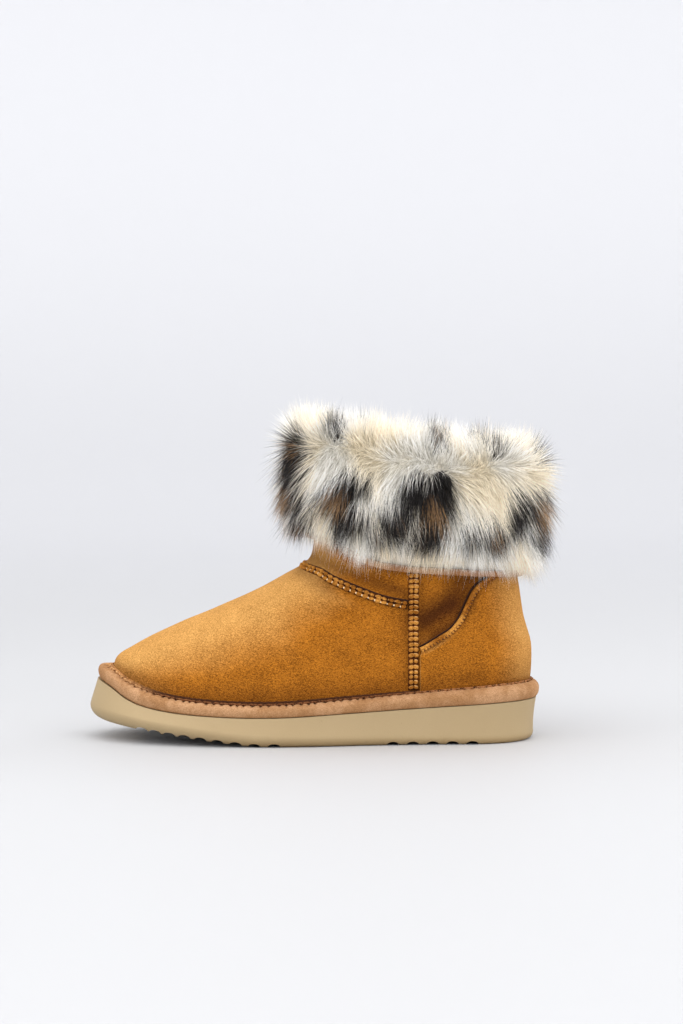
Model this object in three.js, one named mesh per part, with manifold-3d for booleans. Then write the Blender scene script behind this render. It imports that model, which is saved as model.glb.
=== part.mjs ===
// Fur-cuffed ankle boot for the left foot, in millimetres, +Z up.
// The toe points to -X, the outer side of the foot faces -Y, and the origin lies on the floor
// under the middle of the sole. Every form is worked out from the sizes below.
import * as THREE from 'three';
import { mergeVertices } from 'three/addons/utils/BufferGeometryUtils.js';
import Module from 'manifold-3d';

const wasm = await Module();
wasm.setup();

// Last: the upper where it meets the sole, and the shaft above it
const lastLength = 249.5;
const lastHeelX = 127.5; // heel end of the last, behind the origin
const ballWidth = 87;
const heelWidth = 65;
const waistInner = 4.5; // how far the inner side draws in at the arch
const waistOuter = 1.2;
const toeSwing = 7; // how far the toe turns towards the inner side
const swingStart = 0.45; // where the turn starts, and over what share of the last's length
const swingSpan = 0.6;
const widenStart = 0.2; // where the heel's width starts to grow towards the ball, and where each
const ballOuterAt = 0.62; // side of the ball is widest, as shares of a section from its back
const ballInnerAt = 0.69;
const waistAt = 0.42; // middle of the arch, and how far it runs to each side
const waistSpan = 0.13;
const waistFade = 0.7; // share of the waist that has gone half way up
const heelCurve = 2.4; // fullness of a section's round back and front
const toeCurve = 2.1;
const seatFollow = 0.62; // share of the upper's sections that follow the seat's own curve
const instepHeight = 106;
const ankleHeight = 97; // the back of the heel, level with the instep
const shaftDepth = 120; // front to back
const shaftWidth = 80;
const shaftLean = 8.5; // how far the back of the shaft stands in from the heel end
const collarFrontHeight = 172;
const collarBackHeight = 156;
const wallThickness = 2.6; // suede with its backing

// Seat: the top of the wrapped midsole
const heelSeat = 35;
const ballSeat = 24;
const toeSeat = 41;

// Wrapped midsole and outsole
const wrapHeelThickness = 10;
const wrapForeThickness = 6.8;
const wrapToeThickness = 9.4;
const toeThickening = 2; // it thickens this many times faster than the toe seat rises
const wrapHeelReach = 6.9; // how far it stands out past the upper
const wrapToeReach = 8.8;
const heelInset = 1.6; // outsole's top edge, in from the wrapped edge at the heel
const toeOutset = 0.3; // and out past it at the toe
const toeFlare = 4.7; // outsole's foot, out past its top edge at the toe
const heelTuck = 1.8; // outsole's foot, in from its top edge at the heel
const toeSpring = 12.3; // height of the outsole's bottom at the toe
const footHeelRadius = 4; // rounding between the outsole's side and its bottom
const footToeRadius = 7;

// Tread grooves, cut across the bottom
const grooveWidth = 7.4;
const grooveDepth = 2.2;
const heelGrooveStart = 46; // x of the foremost groove under the heel
const heelGroovePitch = 11.7;
const heelGrooveCount = 5;
const foreGrooveStart = -23.5; // x of the rearmost groove under the forefoot
const foreGroovePitch = 11.8;
const foreGrooveCount = 9;
const foreGrooveCrowding = 0.021; // each groove's step shortens towards the toe

// Insole
const insoleThickness = 6;

// Raised seams and the heel counter
const seamX = 58; // the side seams stand at the middle of the shaft
const sideSeamWidth = 6.4;
const sideSeamRise = 2;
const sideSeamFoot = 2; // gap between the seat and the foot of a side seam
const sideSeamTop = 122; // height where the side seams end, under the cuff
const instepSeamWidth = 5;
const instepSeamRise = 1.7;
const seamShoulder = 0.25; // height of a seam's rounded sides, as a share of its rise
const counterThickness = 1.5;
const counterPeak = 103; // height of the counter's edge at the back

// Turned-down fur cuff
const cuffDepth = 55; // from the collar to the hem
const cuffClearance = 2.9; // cuff's skin, off the shaft and its seams
const cuffTuck = 24; // how far the fur goes down inside the collar
const pileDepth = 13.5; // dense part of the fur outside
const innerPileDepth = 7;
const foldRise = 15; // dense fur above the collar
const lockLength = 25;
const lockWidth = 23;
const lockThickness = 12;
const lockBend = 0.16; // drop of a lock's tip, as a share of its length
const lockWander = 0.2; // how far a lock stands off its place, as a share of the locks' spacing
const lockTurn = 8; // how far a lock's hang varies, in degrees
const lockVary = 0.12; // how far its length varies, as a share
const innerClearance = 0.8; // fur's backing, off the inside of the shaft
const hemHeight = 3.6; // suede binding along the cuff's lower edge
const hemThickness = 2.6;

// Clearance between pieces that touch
const gap = 0.3;

// Mesh fineness
const aroundUpper = 40;
const ringsUpper = 12;
const aroundSole = 52;

// Sections of the upper from the sole up to the collar. reach: front of the section, as a share of
// the way from the throat (0) to the toe (1). frontUp: share of the rise from the toe to the instep.
// backUp: share of the rise from the heel seat to the ankle. shaftUp: share of the rise above them.
// backIn: share of the shaft's lean. rear, fore: shares of heel and ball width. shaft: how far the
// section has turned into the shaft's. heelRound, toeRound: share of its length that each end curves.
const sectionColumns = [
  'reach', 'frontUp', 'backUp', 'shaftUp', 'backIn', 'rear', 'fore', 'shaft', 'heelRound', 'toeRound',
];
const sectionRows = [
  [1, 0, 0, 0, 0, 1, 1, 0, 0.16, 0.33],
  [0.98, 0.115, 0.19, 0, -0.09, 1.06, 1.04, 0, 0.17, 0.34],
  [0.925, 0.24, 0.36, 0, -0.05, 1.08, 1.04, 0, 0.18, 0.36],
  [0.81, 0.4, 0.5, 0, 0.22, 1.07, 1, 0.02, 0.19, 0.39],
  [0.66, 0.525, 0.62, 0, 0.46, 1.06, 0.95, 0.06, 0.22, 0.42],
  [0.49, 0.622, 0.73, 0, 0.61, 1.06, 0.905, 0.14, 0.26, 0.44],
  [0.312, 0.732, 0.84, 0, 0.73, 1.06, 0.87, 0.3, 0.31, 0.46],
  [0.15, 0.868, 0.935, 0, 0.84, 1.07, 0.86, 0.52, 0.36, 0.48],
  [0.036, 0.982, 0.995, 0.01, 0.92, 1.08, 0.86, 0.74, 0.41, 0.49],
  [0.002, 1, 1, 0.12, 0.98, 1.1, 0.87, 0.9, 0.45, 0.495],
  [-0.004, 1, 1, 0.34, 1.02, 1.12, 0.88, 1, 0.49, 0.5],
  [-0.004, 1, 1, 0.64, 1, 1.12, 0.88, 1.02, 0.5, 0.5],
  [0.004, 1, 1, 1, 0.9, 1.12, 0.88, 1.04, 0.5, 0.5],
];
const sections = sectionRows.map((row, i) => ({
  at: i / (sectionRows.length - 1),
  ...Object.fromEntries(sectionColumns.map((key, k) => [key, row[k]])),
}));

// Height of the seat along the last. at: share of the last's length from the heel end.
// heel, toe: shares of how far the heel seat and the toe seat lie above the ball seat.
const seatLine = [
  { at: -0.04, heel: 1.04, toe: 0 },
  { at: 0.06, heel: 0.96, toe: 0 },
  { at: 0.15, heel: 0.8, toe: 0 },
  { at: 0.29, heel: 0.54, toe: 0 },
  { at: 0.44, heel: 0.26, toe: 0 },
  { at: 0.62, heel: 0.0, toe: 0 },
  { at: 0.78, heel: 0.0, toe: 0.07 },
  { at: 0.88, heel: 0.0, toe: 0.27 },
  { at: 0.955, heel: 0.0, toe: 0.64 },
  { at: 1.0, heel: 0.0, toe: 1.03 },
  { at: 1.04, heel: 0.0, toe: 1.4 },
];

// Lift of the outsole's bottom towards the toe, as a share of the toe spring
const springLine = [
  { at: 0.6, lift: 0 },
  { at: 0.645, lift: 0 },
  { at: 0.72, lift: 0.14 },
  { at: 0.8, lift: 0.335 },
  { at: 0.88, lift: 0.53 },
  { at: 0.96, lift: 0.75 },
  { at: 1.05, lift: 1 },
];

// Edge of the outer counter in side view. back: share of the way from the side seam to the heel's
// back. up: share of the way from the heel seat to the counter's peak.
const counterEdge = [
  { back: 0, up: 0.32 },
  { back: 0.08, up: 0.36 },
  { back: 0.165, up: 0.41 },
  { back: 0.29, up: 0.48 },
  { back: 0.38, up: 0.575 },
  { back: 0.45, up: 0.7 },
  { back: 0.52, up: 0.81 },
  { back: 0.6, up: 0.89 },
  { back: 0.72, up: 0.95 },
  { back: 0.86, up: 0.985 },
  { back: 1, up: 1 },
];

// Route of the instep seam in side view, from the side seam to the front of the shaft.
// forward: share of the way from the seam to the throat. up: share of the instep's height.
const instepRoute = [
  { forward: 0, up: 0.775 },
  { forward: 0.24, up: 0.801 },
  { forward: 0.42, up: 0.833 },
  { forward: 0.6, up: 0.869 },
  { forward: 0.785, up: 0.908 },
  { forward: 0.95, up: 0.952 },
];
const instepSeamPeak = 0.985; // its height at the front, as a share of the instep's height

// Section of the fur cuff, as a closed loop from the hem up the skin side, over the collar and
// back down the fur side. down: share of the cuff's depth below the collar; tuck: share of the
// tuck inside. rise: share of the fold's rise. pile, innerPile: shares of the fur's depth.
const cuffSkin = [
  { down: 1, tuck: 0, rise: 0, pile: 0, innerPile: 0, side: 1 },
  { down: 0.5, tuck: 0, rise: 0, pile: 0, innerPile: 0, side: 1 },
  { down: 0, tuck: 0, rise: 0.04, pile: 0, innerPile: 0, side: 1 },
  { down: 0, tuck: 0, rise: 0.04, pile: 0, innerPile: 0, side: -1 },
  { down: 0, tuck: 1, rise: 0, pile: 0, innerPile: 0, side: -1 },
];
const cuffFur = [
  { down: 0, tuck: 1.05, rise: 0, pile: 0, innerPile: 0.75, side: -1 },
  { down: 0, tuck: 0.5, rise: 0, pile: 0, innerPile: 1, side: -1 },
  { down: 0, tuck: 0, rise: 0.55, pile: 0, innerPile: 0.9, side: -1 },
  { down: 0, tuck: 0, rise: 1, pile: 0.1, innerPile: 0, side: 1 },
  { down: 0, tuck: 0, rise: 0.62, pile: 0.72, innerPile: 0, side: 1 },
  { down: 0.16, tuck: 0, rise: 0, pile: 1, innerPile: 0, side: 1 },
  { down: 0.5, tuck: 0, rise: 0, pile: 1.08, innerPile: 0, side: 1 },
  { down: 0.86, tuck: 0, rise: 0, pile: 0.92, innerPile: 0, side: 1 },
  { down: 1.0, tuck: 0, rise: 0, pile: 0.5, innerPile: 0, side: 1 },
];

// Rows of fur locks round the cuff. down: share of the cuff's depth below the collar. pile: share of
// the pile's depth at the root. hang: angle below level, in degrees. length: share of lock length.
const lockRows = [
  { down: -0.16, pile: 0.2, hang: -76, length: 1, count: 12 },
  { down: -0.04, pile: 0.75, hang: -48, length: 0.84, count: 12 },
  { down: 0.18, pile: 0.95, hang: 24, length: 0.66, count: 12 },
  { down: 0.38, pile: 0.98, hang: 46, length: 0.8, count: 13 },
  { down: 0.58, pile: 0.86, hang: 56, length: 0.96, count: 13 },
  { down: 0.76, pile: 0.7, hang: 66, length: 0.84, count: 13 },
];

// Value of one column of a table at t, smooth between the rows
function column(rows, key, t) {
  let i = 0;
  while (i < rows.length - 2 && t > rows[i + 1].at) i += 1;
  const [a, b] = [rows[i], rows[i + 1]];
  const before = rows[Math.max(i - 1, 0)];
  const after = rows[Math.min(i + 2, rows.length - 1)];
  const span = b.at - a.at;
  const slopeA = (b[key] - before[key]) / (b.at - before.at);
  const slopeB = (after[key] - a[key]) / (after.at - a.at);
  const k = (t - a.at) / span;
  const [k2, k3] = [k * k, k * k * k];
  return (2 * k3 - 3 * k2 + 1) * a[key] + (k3 - 2 * k2 + k) * span * slopeA
    + (3 * k2 - 2 * k3) * b[key] + (k3 - k2) * span * slopeB;
}

const mix = (a, b, t) => a + (b - a) * t;
const clamp01 = (t) => Math.min(Math.max(t, 0), 1);
const smooth = (t) => clamp01(t) ** 2 * (3 - 2 * clamp01(t));

const throatX = lastHeelX - shaftLean - shaftDepth;
const toeX = lastHeelX - lastLength;
const alongLast = (x) => (lastHeelX - x) / lastLength;

function seatHeight(x) {
  const t = alongLast(x);
  return ballSeat + (heelSeat - ballSeat) * column(seatLine, 'heel', t)
    + (toeSeat - ballSeat) * column(seatLine, 'toe', t);
}

function wrapThickness(x) {
  const t = alongLast(x);
  return wrapForeThickness
    + (wrapHeelThickness - wrapForeThickness) * clamp01(column(seatLine, 'heel', t))
    + (wrapToeThickness - wrapForeThickness) * clamp01(toeThickening * column(seatLine, 'toe', t));
}

function bottomHeight(x) {
  const t = alongLast(x);
  return t < springLine[1].at ? 0 : toeSpring * column(springLine, 'lift', t);
}

// Sideways place of the last's middle line
const middleY = (x) => toeSwing * smooth((alongLast(x) - swingStart) / swingSpan);

// Round ends and sides of a section: s runs from the back (0) to the front (1)
function halfWidth(s, v, x, side) {
  const heelRound = column(sections, 'heelRound', v);
  const toeRound = column(sections, 'toeRound', v);
  const shaft = clamp01(column(sections, 'shaft', v));
  const rear = mix(column(sections, 'rear', v) * heelWidth, shaftWidth, shaft) / 2;
  const fore = mix(column(sections, 'fore', v) * ballWidth, shaftWidth, shaft) / 2;
  const ballAt = side < 0 ? ballOuterAt : ballInnerAt;
  const wide = mix(rear, fore, smooth((s - widenStart) / (ballAt - widenStart)));
  const drawnIn = (side < 0 ? waistOuter : waistInner) * (1 - shaft);
  const waist = drawnIn * (1 - waistFade * clamp01(2 * v));
  const arch = waist * Math.exp(-(((alongLast(x) - waistAt) / waistSpan) ** 2));
  const intoHeel = Math.max(1 - s / heelRound, 0);
  const intoToe = Math.max(1 - (1 - s) / toeRound, 0);
  const ends = Math.max(1 - intoHeel ** heelCurve - intoToe ** toeCurve, 0);
  return (wide - arch) * Math.sqrt(ends);
}

const shareAt = (u) => (1 - Math.cos(2 * Math.PI * u)) / 2;

// Point of the upper's outer face without lift. u runs round it from the back by the outer side,
// v from the sole to the collar.
function upperSkin(u, v) {
  const s = shareAt(u);
  const backX = lastHeelX - shaftLean * column(sections, 'backIn', v);
  const frontX = mix(throatX, toeX, column(sections, 'reach', v));
  const shaftUp = column(sections, 'shaftUp', v);
  const backZ = mix(heelSeat, ankleHeight, column(sections, 'backUp', v))
    + shaftUp * (collarBackHeight - ankleHeight);
  const frontZ = mix(toeSeat, instepHeight, column(sections, 'frontUp', v))
    + shaftUp * (collarFrontHeight - instepHeight);
  const x = mix(backX, frontX, s);
  const side = u < 0.5 ? -1 : 1;
  const follow = (1 - smooth(v / seatFollow)) * (seatHeight(x) - mix(heelSeat, toeSeat, s));
  const z = mix(backZ, frontZ, s) + follow + gap;
  return new THREE.Vector3(x, middleY(x) + side * halfWidth(s, v, x, side), z);
}

// Outward direction of the upper's face
function upperNormal(u, v) {
  const step = 1e-3;
  const low = Math.max(v - step, 0);
  const high = Math.min(v + step, 1);
  const round = upperSkin((u + step) % 1, v).sub(upperSkin((u - step + 1) % 1, v));
  const rise = upperSkin(u, high).sub(upperSkin(u, low));
  return rise.cross(round).normalize();
}

function upperPoint(u, v, lift) {
  return upperSkin(u, v).addScaledVector(upperNormal(u, v), lift);
}

// v at which the upper reaches a height, at u
function heightPlace(u, height) {
  let [low, high] = [0, 1];
  for (let i = 0; i < 40; i += 1) {
    const v = (low + high) / 2;
    if (upperSkin(u, v).z < height) {
      low = v;
    } else {
      high = v;
    }
  }
  return (low + high) / 2;
}

// u and v of the place that a side view shows at x and z, on the outer (-1) or inner (1) side
function locate(x, z, side) {
  let [low, high] = [0, 1];
  let u = 0;
  for (let i = 0; i < 40; i += 1) {
    const v = (low + high) / 2;
    const backX = lastHeelX - shaftLean * column(sections, 'backIn', v);
    const frontX = mix(throatX, toeX, column(sections, 'reach', v));
    const s = clamp01((backX - x) / (backX - frontX));
    u = Math.acos(1 - 2 * s) / (2 * Math.PI);
    if (upperSkin(u, v).z < z) {
      low = v;
    } else {
      high = v;
    }
  }
  return { u: side < 0 ? u : (1 - u) % 1, v: (low + high) / 2 };
}

// Outline of the last on the sole, grown outwards: heelGrow at the heel to toeGrow at the toe
function solePoint(u, heelGrow, toeGrow) {
  const step = 1e-3;
  const here = upperSkin(u, 0);
  const next = upperSkin((u + step) % 1, 0);
  const last = upperSkin((u - step + 1) % 1, 0);
  const normal = new THREE.Vector2(last.y - next.y, next.x - last.x).normalize();
  const grow = mix(heelGrow, toeGrow, shareAt(u));
  return new THREE.Vector2(here.x + normal.x * grow, here.y + normal.y * grow);
}

function signedVolume(points, faces) {
  return faces.reduce((sum, [a, b, c]) => {
    const cross = points[b].clone().cross(points[c]);
    return sum + points[a].dot(cross) / 6;
  }, 0);
}

// Closed geometry from points and triangles, with its faces turned outwards
function closedGeometry(points, faces) {
  const turned = signedVolume(points, faces) < 0 ? faces.map(([a, b, c]) => [a, c, b]) : faces;
  const geometry = new THREE.BufferGeometry();
  const place = points.flatMap((p) => [p.x, p.y, p.z]);
  geometry.setAttribute('position', new THREE.Float32BufferAttribute(place, 3));
  geometry.setIndex(turned.flat());
  geometry.computeVertexNormals();
  return geometry;
}

// Bands of faces between closed rings of equal length. loop joins the last ring to the first.
function ringFaces(ringCount, n, loop) {
  const faces = [];
  for (let r = 0; r < (loop ? ringCount : ringCount - 1); r += 1) {
    const above = (r + 1) % ringCount;
    for (let i = 0; i < n; i += 1) {
      const j = (i + 1) % n;
      faces.push([r * n + i, r * n + j, above * n + j]);
      faces.push([r * n + i, above * n + j, above * n + i]);
    }
  }
  return faces;
}

// A hollow ring-like piece: its rings run round a closed section
function hollow(rings) {
  return closedGeometry(rings.flat(), ringFaces(rings.length, rings[0].length, true));
}

// A slab: its rings run from bottom to top, and each end is bridged straight across the foot
function slab(rings) {
  const n = rings[0].length;
  const faces = ringFaces(rings.length, n, false);
  const bridge = (start, flip) => {
    for (let i = 0; i < n / 2; i += 1) {
      const [a, b] = [start + i, start + i + 1];
      const [c, d] = [start + (n - i) % n, start + n - i - 1];
      const pair = [[a, c, b], [b, c, d]].filter((f) => new Set(f).size === 3);
      faces.push(...pair.map(([p, q, r]) => (flip ? [p, r, q] : [p, q, r])));
    }
  };
  bridge(0, false);
  bridge((rings.length - 1) * n, true);
  return closedGeometry(rings.flat(), faces);
}

// A strip: its rings are convex sections along a route, and each end is closed with a fan
function strip(rings) {
  const n = rings[0].length;
  const faces = ringFaces(rings.length, n, false);
  const end = (rings.length - 1) * n;
  for (let i = 1; i < n - 1; i += 1) {
    faces.push([0, i + 1, i], [end, end + i, end + i + 1]);
  }
  return closedGeometry(rings.flat(), faces);
}

const steps = (count) => Array.from({ length: count }, (_, i) => i);

function solid(geometry) {
  const bare = geometry.clone();
  bare.deleteAttribute('normal');
  bare.deleteAttribute('uv');
  const merged = mergeVertices(bare, 1e-4);
  return new wasm.Manifold(new wasm.Mesh({
    numProp: 3,
    vertProperties: new Float32Array(merged.attributes.position.array),
    triVerts: new Uint32Array(merged.index.array),
  }));
}

function geometryOf(manifold) {
  const mesh = manifold.getMesh();
  const geometry = new THREE.BufferGeometry();
  geometry.setAttribute('position', new THREE.BufferAttribute(mesh.vertProperties, 3));
  geometry.setIndex(new THREE.BufferAttribute(mesh.triVerts, 1));
  geometry.computeVertexNormals();
  return geometry;
}

// Outsole: moulded sole with a flared toe, a tucked heel, a rounded foot and tread grooves
function outsoleGeometry() {
  const foot = [
    { round: 0, tuck: 1 },
    { round: 0.3, tuck: 0.3 },
    { round: 1, tuck: 0 },
  ];
  const footRing = ({ round, tuck }) => steps(aroundSole).map((i) => {
    const u = i / aroundSole;
    const radius = mix(footHeelRadius, footToeRadius, smooth(shareAt(u)));
    const heelGrow = wrapHeelReach - heelInset - heelTuck - radius * tuck;
    const toeGrow = wrapToeReach + toeOutset + toeFlare - radius * tuck;
    const p = solePoint(u, heelGrow, toeGrow);
    return new THREE.Vector3(p.x, p.y, bottomHeight(p.x) + radius * round);
  });
  const top = steps(aroundSole).map((i) => {
    const p = solePoint(i / aroundSole, wrapHeelReach - heelInset, wrapToeReach + toeOutset);
    return new THREE.Vector3(p.x, p.y, seatHeight(p.x) - wrapThickness(p.x) - gap);
  });
  const body = solid(slab([...foot.map(footRing), top]));
  return geometryOf(treadGrooves().reduce((left, groove) => left.subtract(groove), body));
}

// One rounded groove across the bottom at x, lying square to the sole there
function grooveCutter(x) {
  const profile = new THREE.Shape();
  profile.moveTo(-grooveWidth / 2, -grooveDepth);
  profile.lineTo(grooveWidth / 2, -grooveDepth);
  profile.lineTo(grooveWidth / 2, 0);
  profile.absellipse(0, 0, grooveWidth / 2, grooveDepth, 0, Math.PI, false, 0);
  const length = 2 * ballWidth;
  const cutter = new THREE.ExtrudeGeometry(profile, { depth: length, bevelEnabled: false, curveSegments: 4 });
  cutter.rotateX(Math.PI / 2);
  const slope = Math.atan2(bottomHeight(x - 1) - bottomHeight(x + 1), 2);
  cutter.rotateY(slope);
  cutter.translate(x, length / 2, bottomHeight(x));
  return solid(cutter);
}

function treadGrooves() {
  const heel = steps(heelGrooveCount).map((i) => heelGrooveStart + heelGroovePitch * i);
  const fore = steps(foreGrooveCount)
    .map((i) => foreGrooveStart - foreGroovePitch * i * (1 - foreGrooveCrowding * i));
  return [...heel, ...fore].map(grooveCutter);
}

// Wrapped midsole: a suede-covered layer whose rim is a full round roll
function midsoleGeometry() {
  const rollSteps = 6;
  const roll = steps(rollSteps + 1).map((k) => (k / rollSteps - 0.5) * Math.PI);
  return slab(roll.map((angle) => steps(aroundSole).map((i) => {
    const u = i / aroundSole;
    const rough = solePoint(u, wrapHeelReach, wrapToeReach);
    const half = wrapThickness(rough.x) / 2;
    const pull = half * (1 - Math.cos(angle));
    const p = solePoint(u, wrapHeelReach - pull, wrapToeReach - pull);
    const middle = seatHeight(p.x) - wrapThickness(p.x) / 2;
    return new THREE.Vector3(p.x, p.y, middle + half * Math.sin(angle));
  })));
}

// Closed form of the upper with its faces moved in by depth, used to fit what lies inside it
function upperForm(depth) {
  return slab(steps(ringsUpper).map((r) => steps(aroundUpper)
    .map((i) => upperPoint(i / aroundUpper, r / (ringsUpper - 1), -depth))));
}

function insoleGeometry() {
  const reach = -wallThickness - 2 * gap;
  const ring = (up) => steps(aroundSole).map((i) => {
    const p = solePoint(i / aroundSole, reach, reach);
    return new THREE.Vector3(p.x, p.y, seatHeight(p.x) + gap + up);
  });
  const bed = solid(slab([ring(0), ring(insoleThickness)]));
  return geometryOf(bed.intersect(solid(upperForm(wallThickness + 2 * gap))));
}

// Upper: one hollow wall, open at the collar and underneath
function upperGeometry() {
  const ring = (v, lift) => steps(aroundUpper).map((i) => upperPoint(i / aroundUpper, v, lift));
  const heights = steps(ringsUpper).map((r) => r / (ringsUpper - 1));
  const outer = heights.map((v) => ring(v, 0));
  const inner = heights.map((v) => {
    const wall = ring(v, -wallThickness);
    return v === 0 ? wall.map((p) => p.setZ(seatHeight(p.x) + gap)) : wall;
  });
  return hollow([...outer, ...inner.reverse()]);
}

// Raised, rounded strip of the given width and rise along a route of places on the upper
function seamGeometry(route, width, rise) {
  const rings = route.map(({ u, v }, i) => {
    const before = route[Math.max(i - 1, 0)];
    const after = route[Math.min(i + 1, route.length - 1)];
    const normal = upperNormal(u, v);
    const along = upperSkin(after.u, after.v).sub(upperSkin(before.u, before.v)).normalize();
    const across = along.clone().cross(normal).normalize();
    const centre = upperSkin(u, v);
    const point = (sideways, lift) => centre.clone()
      .addScaledVector(across, sideways).addScaledVector(normal, lift);
    const arc = steps(4).map((k) => {
      const angle = Math.PI * k / 3;
      return point(Math.cos(angle) * width / 2, gap + rise * mix(seamShoulder, 1, Math.sin(angle)));
    });
    return [...arc, point(-width / 2, -rise), point(width / 2, -rise)];
  });
  return geometryOf(solid(strip(rings)).subtract(solid(upperForm(-gap))));
}

function sideSeamGeometry(side) {
  const foot = seatHeight(seamX) + sideSeamFoot;
  const count = 10;
  const route = steps(count)
    .map((i) => locate(seamX, mix(foot, sideSeamTop, i / (count - 1)), side));
  return seamGeometry(route, sideSeamWidth, sideSeamRise);
}

function instepSeamGeometry() {
  const start = seamX - sideSeamWidth / 2 - 2 * gap;
  const placed = instepRoute
    .map((row) => locate(mix(start, throatX, row.forward), instepHeight * row.up, -1));
  const crown = { u: 0.5, v: heightPlace(0.5, instepHeight * instepSeamPeak) };
  const rows = [...placed, crown].map(({ u, v }) => ({ at: u, v }));
  const count = 10;
  const half = steps(count + 1).map((i) => {
    const u = mix(rows[0].at, crown.u, i / count);
    return { u, v: column(rows, 'v', u) };
  });
  const mirrored = half.slice(0, -1).reverse().map(({ u, v }) => ({ u: 1 - u, v }));
  return seamGeometry([...half, ...mirrored], instepSeamWidth, instepSeamRise);
}

// Heel counter: cut between two larger forms of the upper, behind the side seams and under its edge
function counterGeometry() {
  const edgeX = seamX + sideSeamWidth / 2 + gap;
  const backX = lastHeelX - shaftLean;
  const beyond = lastHeelX + 2 * wrapHeelReach;
  const outline = new THREE.Shape();
  outline.moveTo(edgeX, seatHeight(edgeX) + gap);
  counterEdge.forEach(({ back, up }) => {
    outline.lineTo(mix(edgeX, backX, back), mix(heelSeat, counterPeak, up));
  });
  outline.lineTo(beyond, counterPeak);
  outline.lineTo(beyond, seatHeight(lastHeelX) + gap);
  steps(4).forEach((i) => {
    const x = mix(lastHeelX, edgeX, i / 4);
    outline.lineTo(x, seatHeight(x) + gap);
  });
  const region = new THREE.ExtrudeGeometry(outline, { depth: 2 * heelWidth, bevelEnabled: false });
  region.rotateX(Math.PI / 2);
  region.translate(0, heelWidth, 0);
  const outside = solid(upperForm(-gap - counterThickness));
  const inside = solid(upperForm(-gap));
  return geometryOf(outside.subtract(inside).intersect(solid(region)));
}

const levelOut = (u, v) => upperNormal(u, v).setZ(0).normalize();

// Point of the cuff: rise above the collar (or below it, along the shaft), and outwards from the
// shaft's outer face
function cuffPoint(u, rise, outwards) {
  const collar = upperSkin(u, 1);
  if (rise < 0) {
    const v = heightPlace(u, collar.z + rise);
    return upperSkin(u, v).addScaledVector(levelOut(u, v), outwards);
  }
  const up = collar.clone().sub(upperSkin(u, 0.9)).normalize();
  return collar.addScaledVector(up, rise).addScaledVector(levelOut(u, 1), outwards);
}

// Place of a row of the cuff's section: how far above the collar, and how far out of the shaft
function cuffPlace({ down, tuck, rise, pile, innerPile, side }) {
  const above = gap + foldRise * rise - cuffDepth * down - (side < 0 ? cuffTuck * tuck : 0);
  const inner = -(wallThickness + innerClearance + innerPileDepth * innerPile);
  const outer = cuffClearance + pileDepth * pile;
  return { above, outwards: side < 0 ? inner : outer };
}

// A tapered lock of fur that bends down towards its tip
function lockGeometry(root, out, hang, length) {
  const across = new THREE.Vector3(-out.y, out.x, 0);
  const ahead = out.clone().multiplyScalar(Math.cos(hang)).setZ(-Math.sin(hang));
  const over = ahead.clone().cross(across);
  const stations = [
    { along: 0, size: 1 },
    { along: 0.5, size: 0.74 },
    { along: 1, size: 0.06 },
  ];
  const corners = [[1, 0], [0, 1], [-1, 0], [0, -1]];
  return strip(stations.map(({ along, size }) => corners.map(([wide, thick]) => root.clone()
    .addScaledVector(ahead, length * along)
    .add(new THREE.Vector3(0, 0, -lockBend * length * along * along))
    .addScaledVector(across, wide * size * lockWidth / 2)
    .addScaledVector(over, thick * size * lockThickness / 2))));
}

// Suede binding along the cuff's lower edge, just under its skin, grown by the given clearance
function hemGeometry(grow) {
  const corners = [
    { down: 0, out: 0, growDown: -1, growOut: -1 },
    { down: 0, out: 1, growDown: -1, growOut: 1 },
    { down: 0.75, out: 1, growDown: 1, growOut: 1 },
    { down: 1, out: 0.5, growDown: 1, growOut: 0 },
    { down: 0.75, out: 0, growDown: 1, growOut: -1 },
  ];
  return hollow(corners.map((corner) => steps(aroundUpper).map((i) => cuffPoint(
    i / aroundUpper,
    -cuffDepth - gap - hemHeight * corner.down - grow * corner.growDown,
    cuffClearance + hemThickness * corner.out + grow * corner.growOut,
  ))));
}

// Fur cuff: dense fur folded over the collar, with locks fused on
function cuffGeometry() {
  const loop = [...cuffSkin, ...cuffFur].map(cuffPlace);
  const rings = loop.map(({ above, outwards }) => steps(aroundUpper)
    .map((i) => cuffPoint(i / aroundUpper, above, outwards)));
  const body = solid(hollow(rings));
  const shaft = solid(upperForm(-cuffClearance));
  const locks = lockRows.flatMap((row, r) => steps(row.count).map((i) => {
    const wander = lockWander * Math.sin(12.9 * i + 7.3 * r);
    const u = ((i + 0.5 * (r % 2) + wander) / row.count + 1) % 1;
    const depth = cuffClearance + pileDepth * row.pile - lockThickness / 2;
    const root = cuffPoint(u, -cuffDepth * row.down, depth);
    const hang = THREE.MathUtils.degToRad(row.hang + lockTurn * Math.sin(4.7 * i + r));
    const length = lockLength * row.length * (1 + lockVary * Math.sin(5.1 * i + 2.7 * r));
    return solid(lockGeometry(root, levelOut(u, 1), hang, length)).subtract(shaft);
  }));
  const whole = locks.reduce((sum, lock) => sum.add(lock), body);
  return geometryOf(whole.subtract(solid(hemGeometry(gap))));
}

const suede = { roughness: 0.95, metalness: 0 };
const materials = {
  outsole: new THREE.MeshStandardMaterial({ color: 0xc2a878, roughness: 0.7, metalness: 0 }),
  wrap: new THREE.MeshStandardMaterial({ color: 0xc09068, ...suede }),
  insole: new THREE.MeshStandardMaterial({ color: 0xe6d8bc, roughness: 1, metalness: 0 }),
  upper: new THREE.MeshStandardMaterial({ color: 0xb06f22, ...suede }),
  seam: new THREE.MeshStandardMaterial({ color: 0xa86820, roughness: 0.85, metalness: 0 }),
  fur: new THREE.MeshStandardMaterial({ color: 0xd9cdb2, roughness: 1, metalness: 0 }),
  hem: new THREE.MeshStandardMaterial({ color: 0xc8966c, ...suede }),
};

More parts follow.
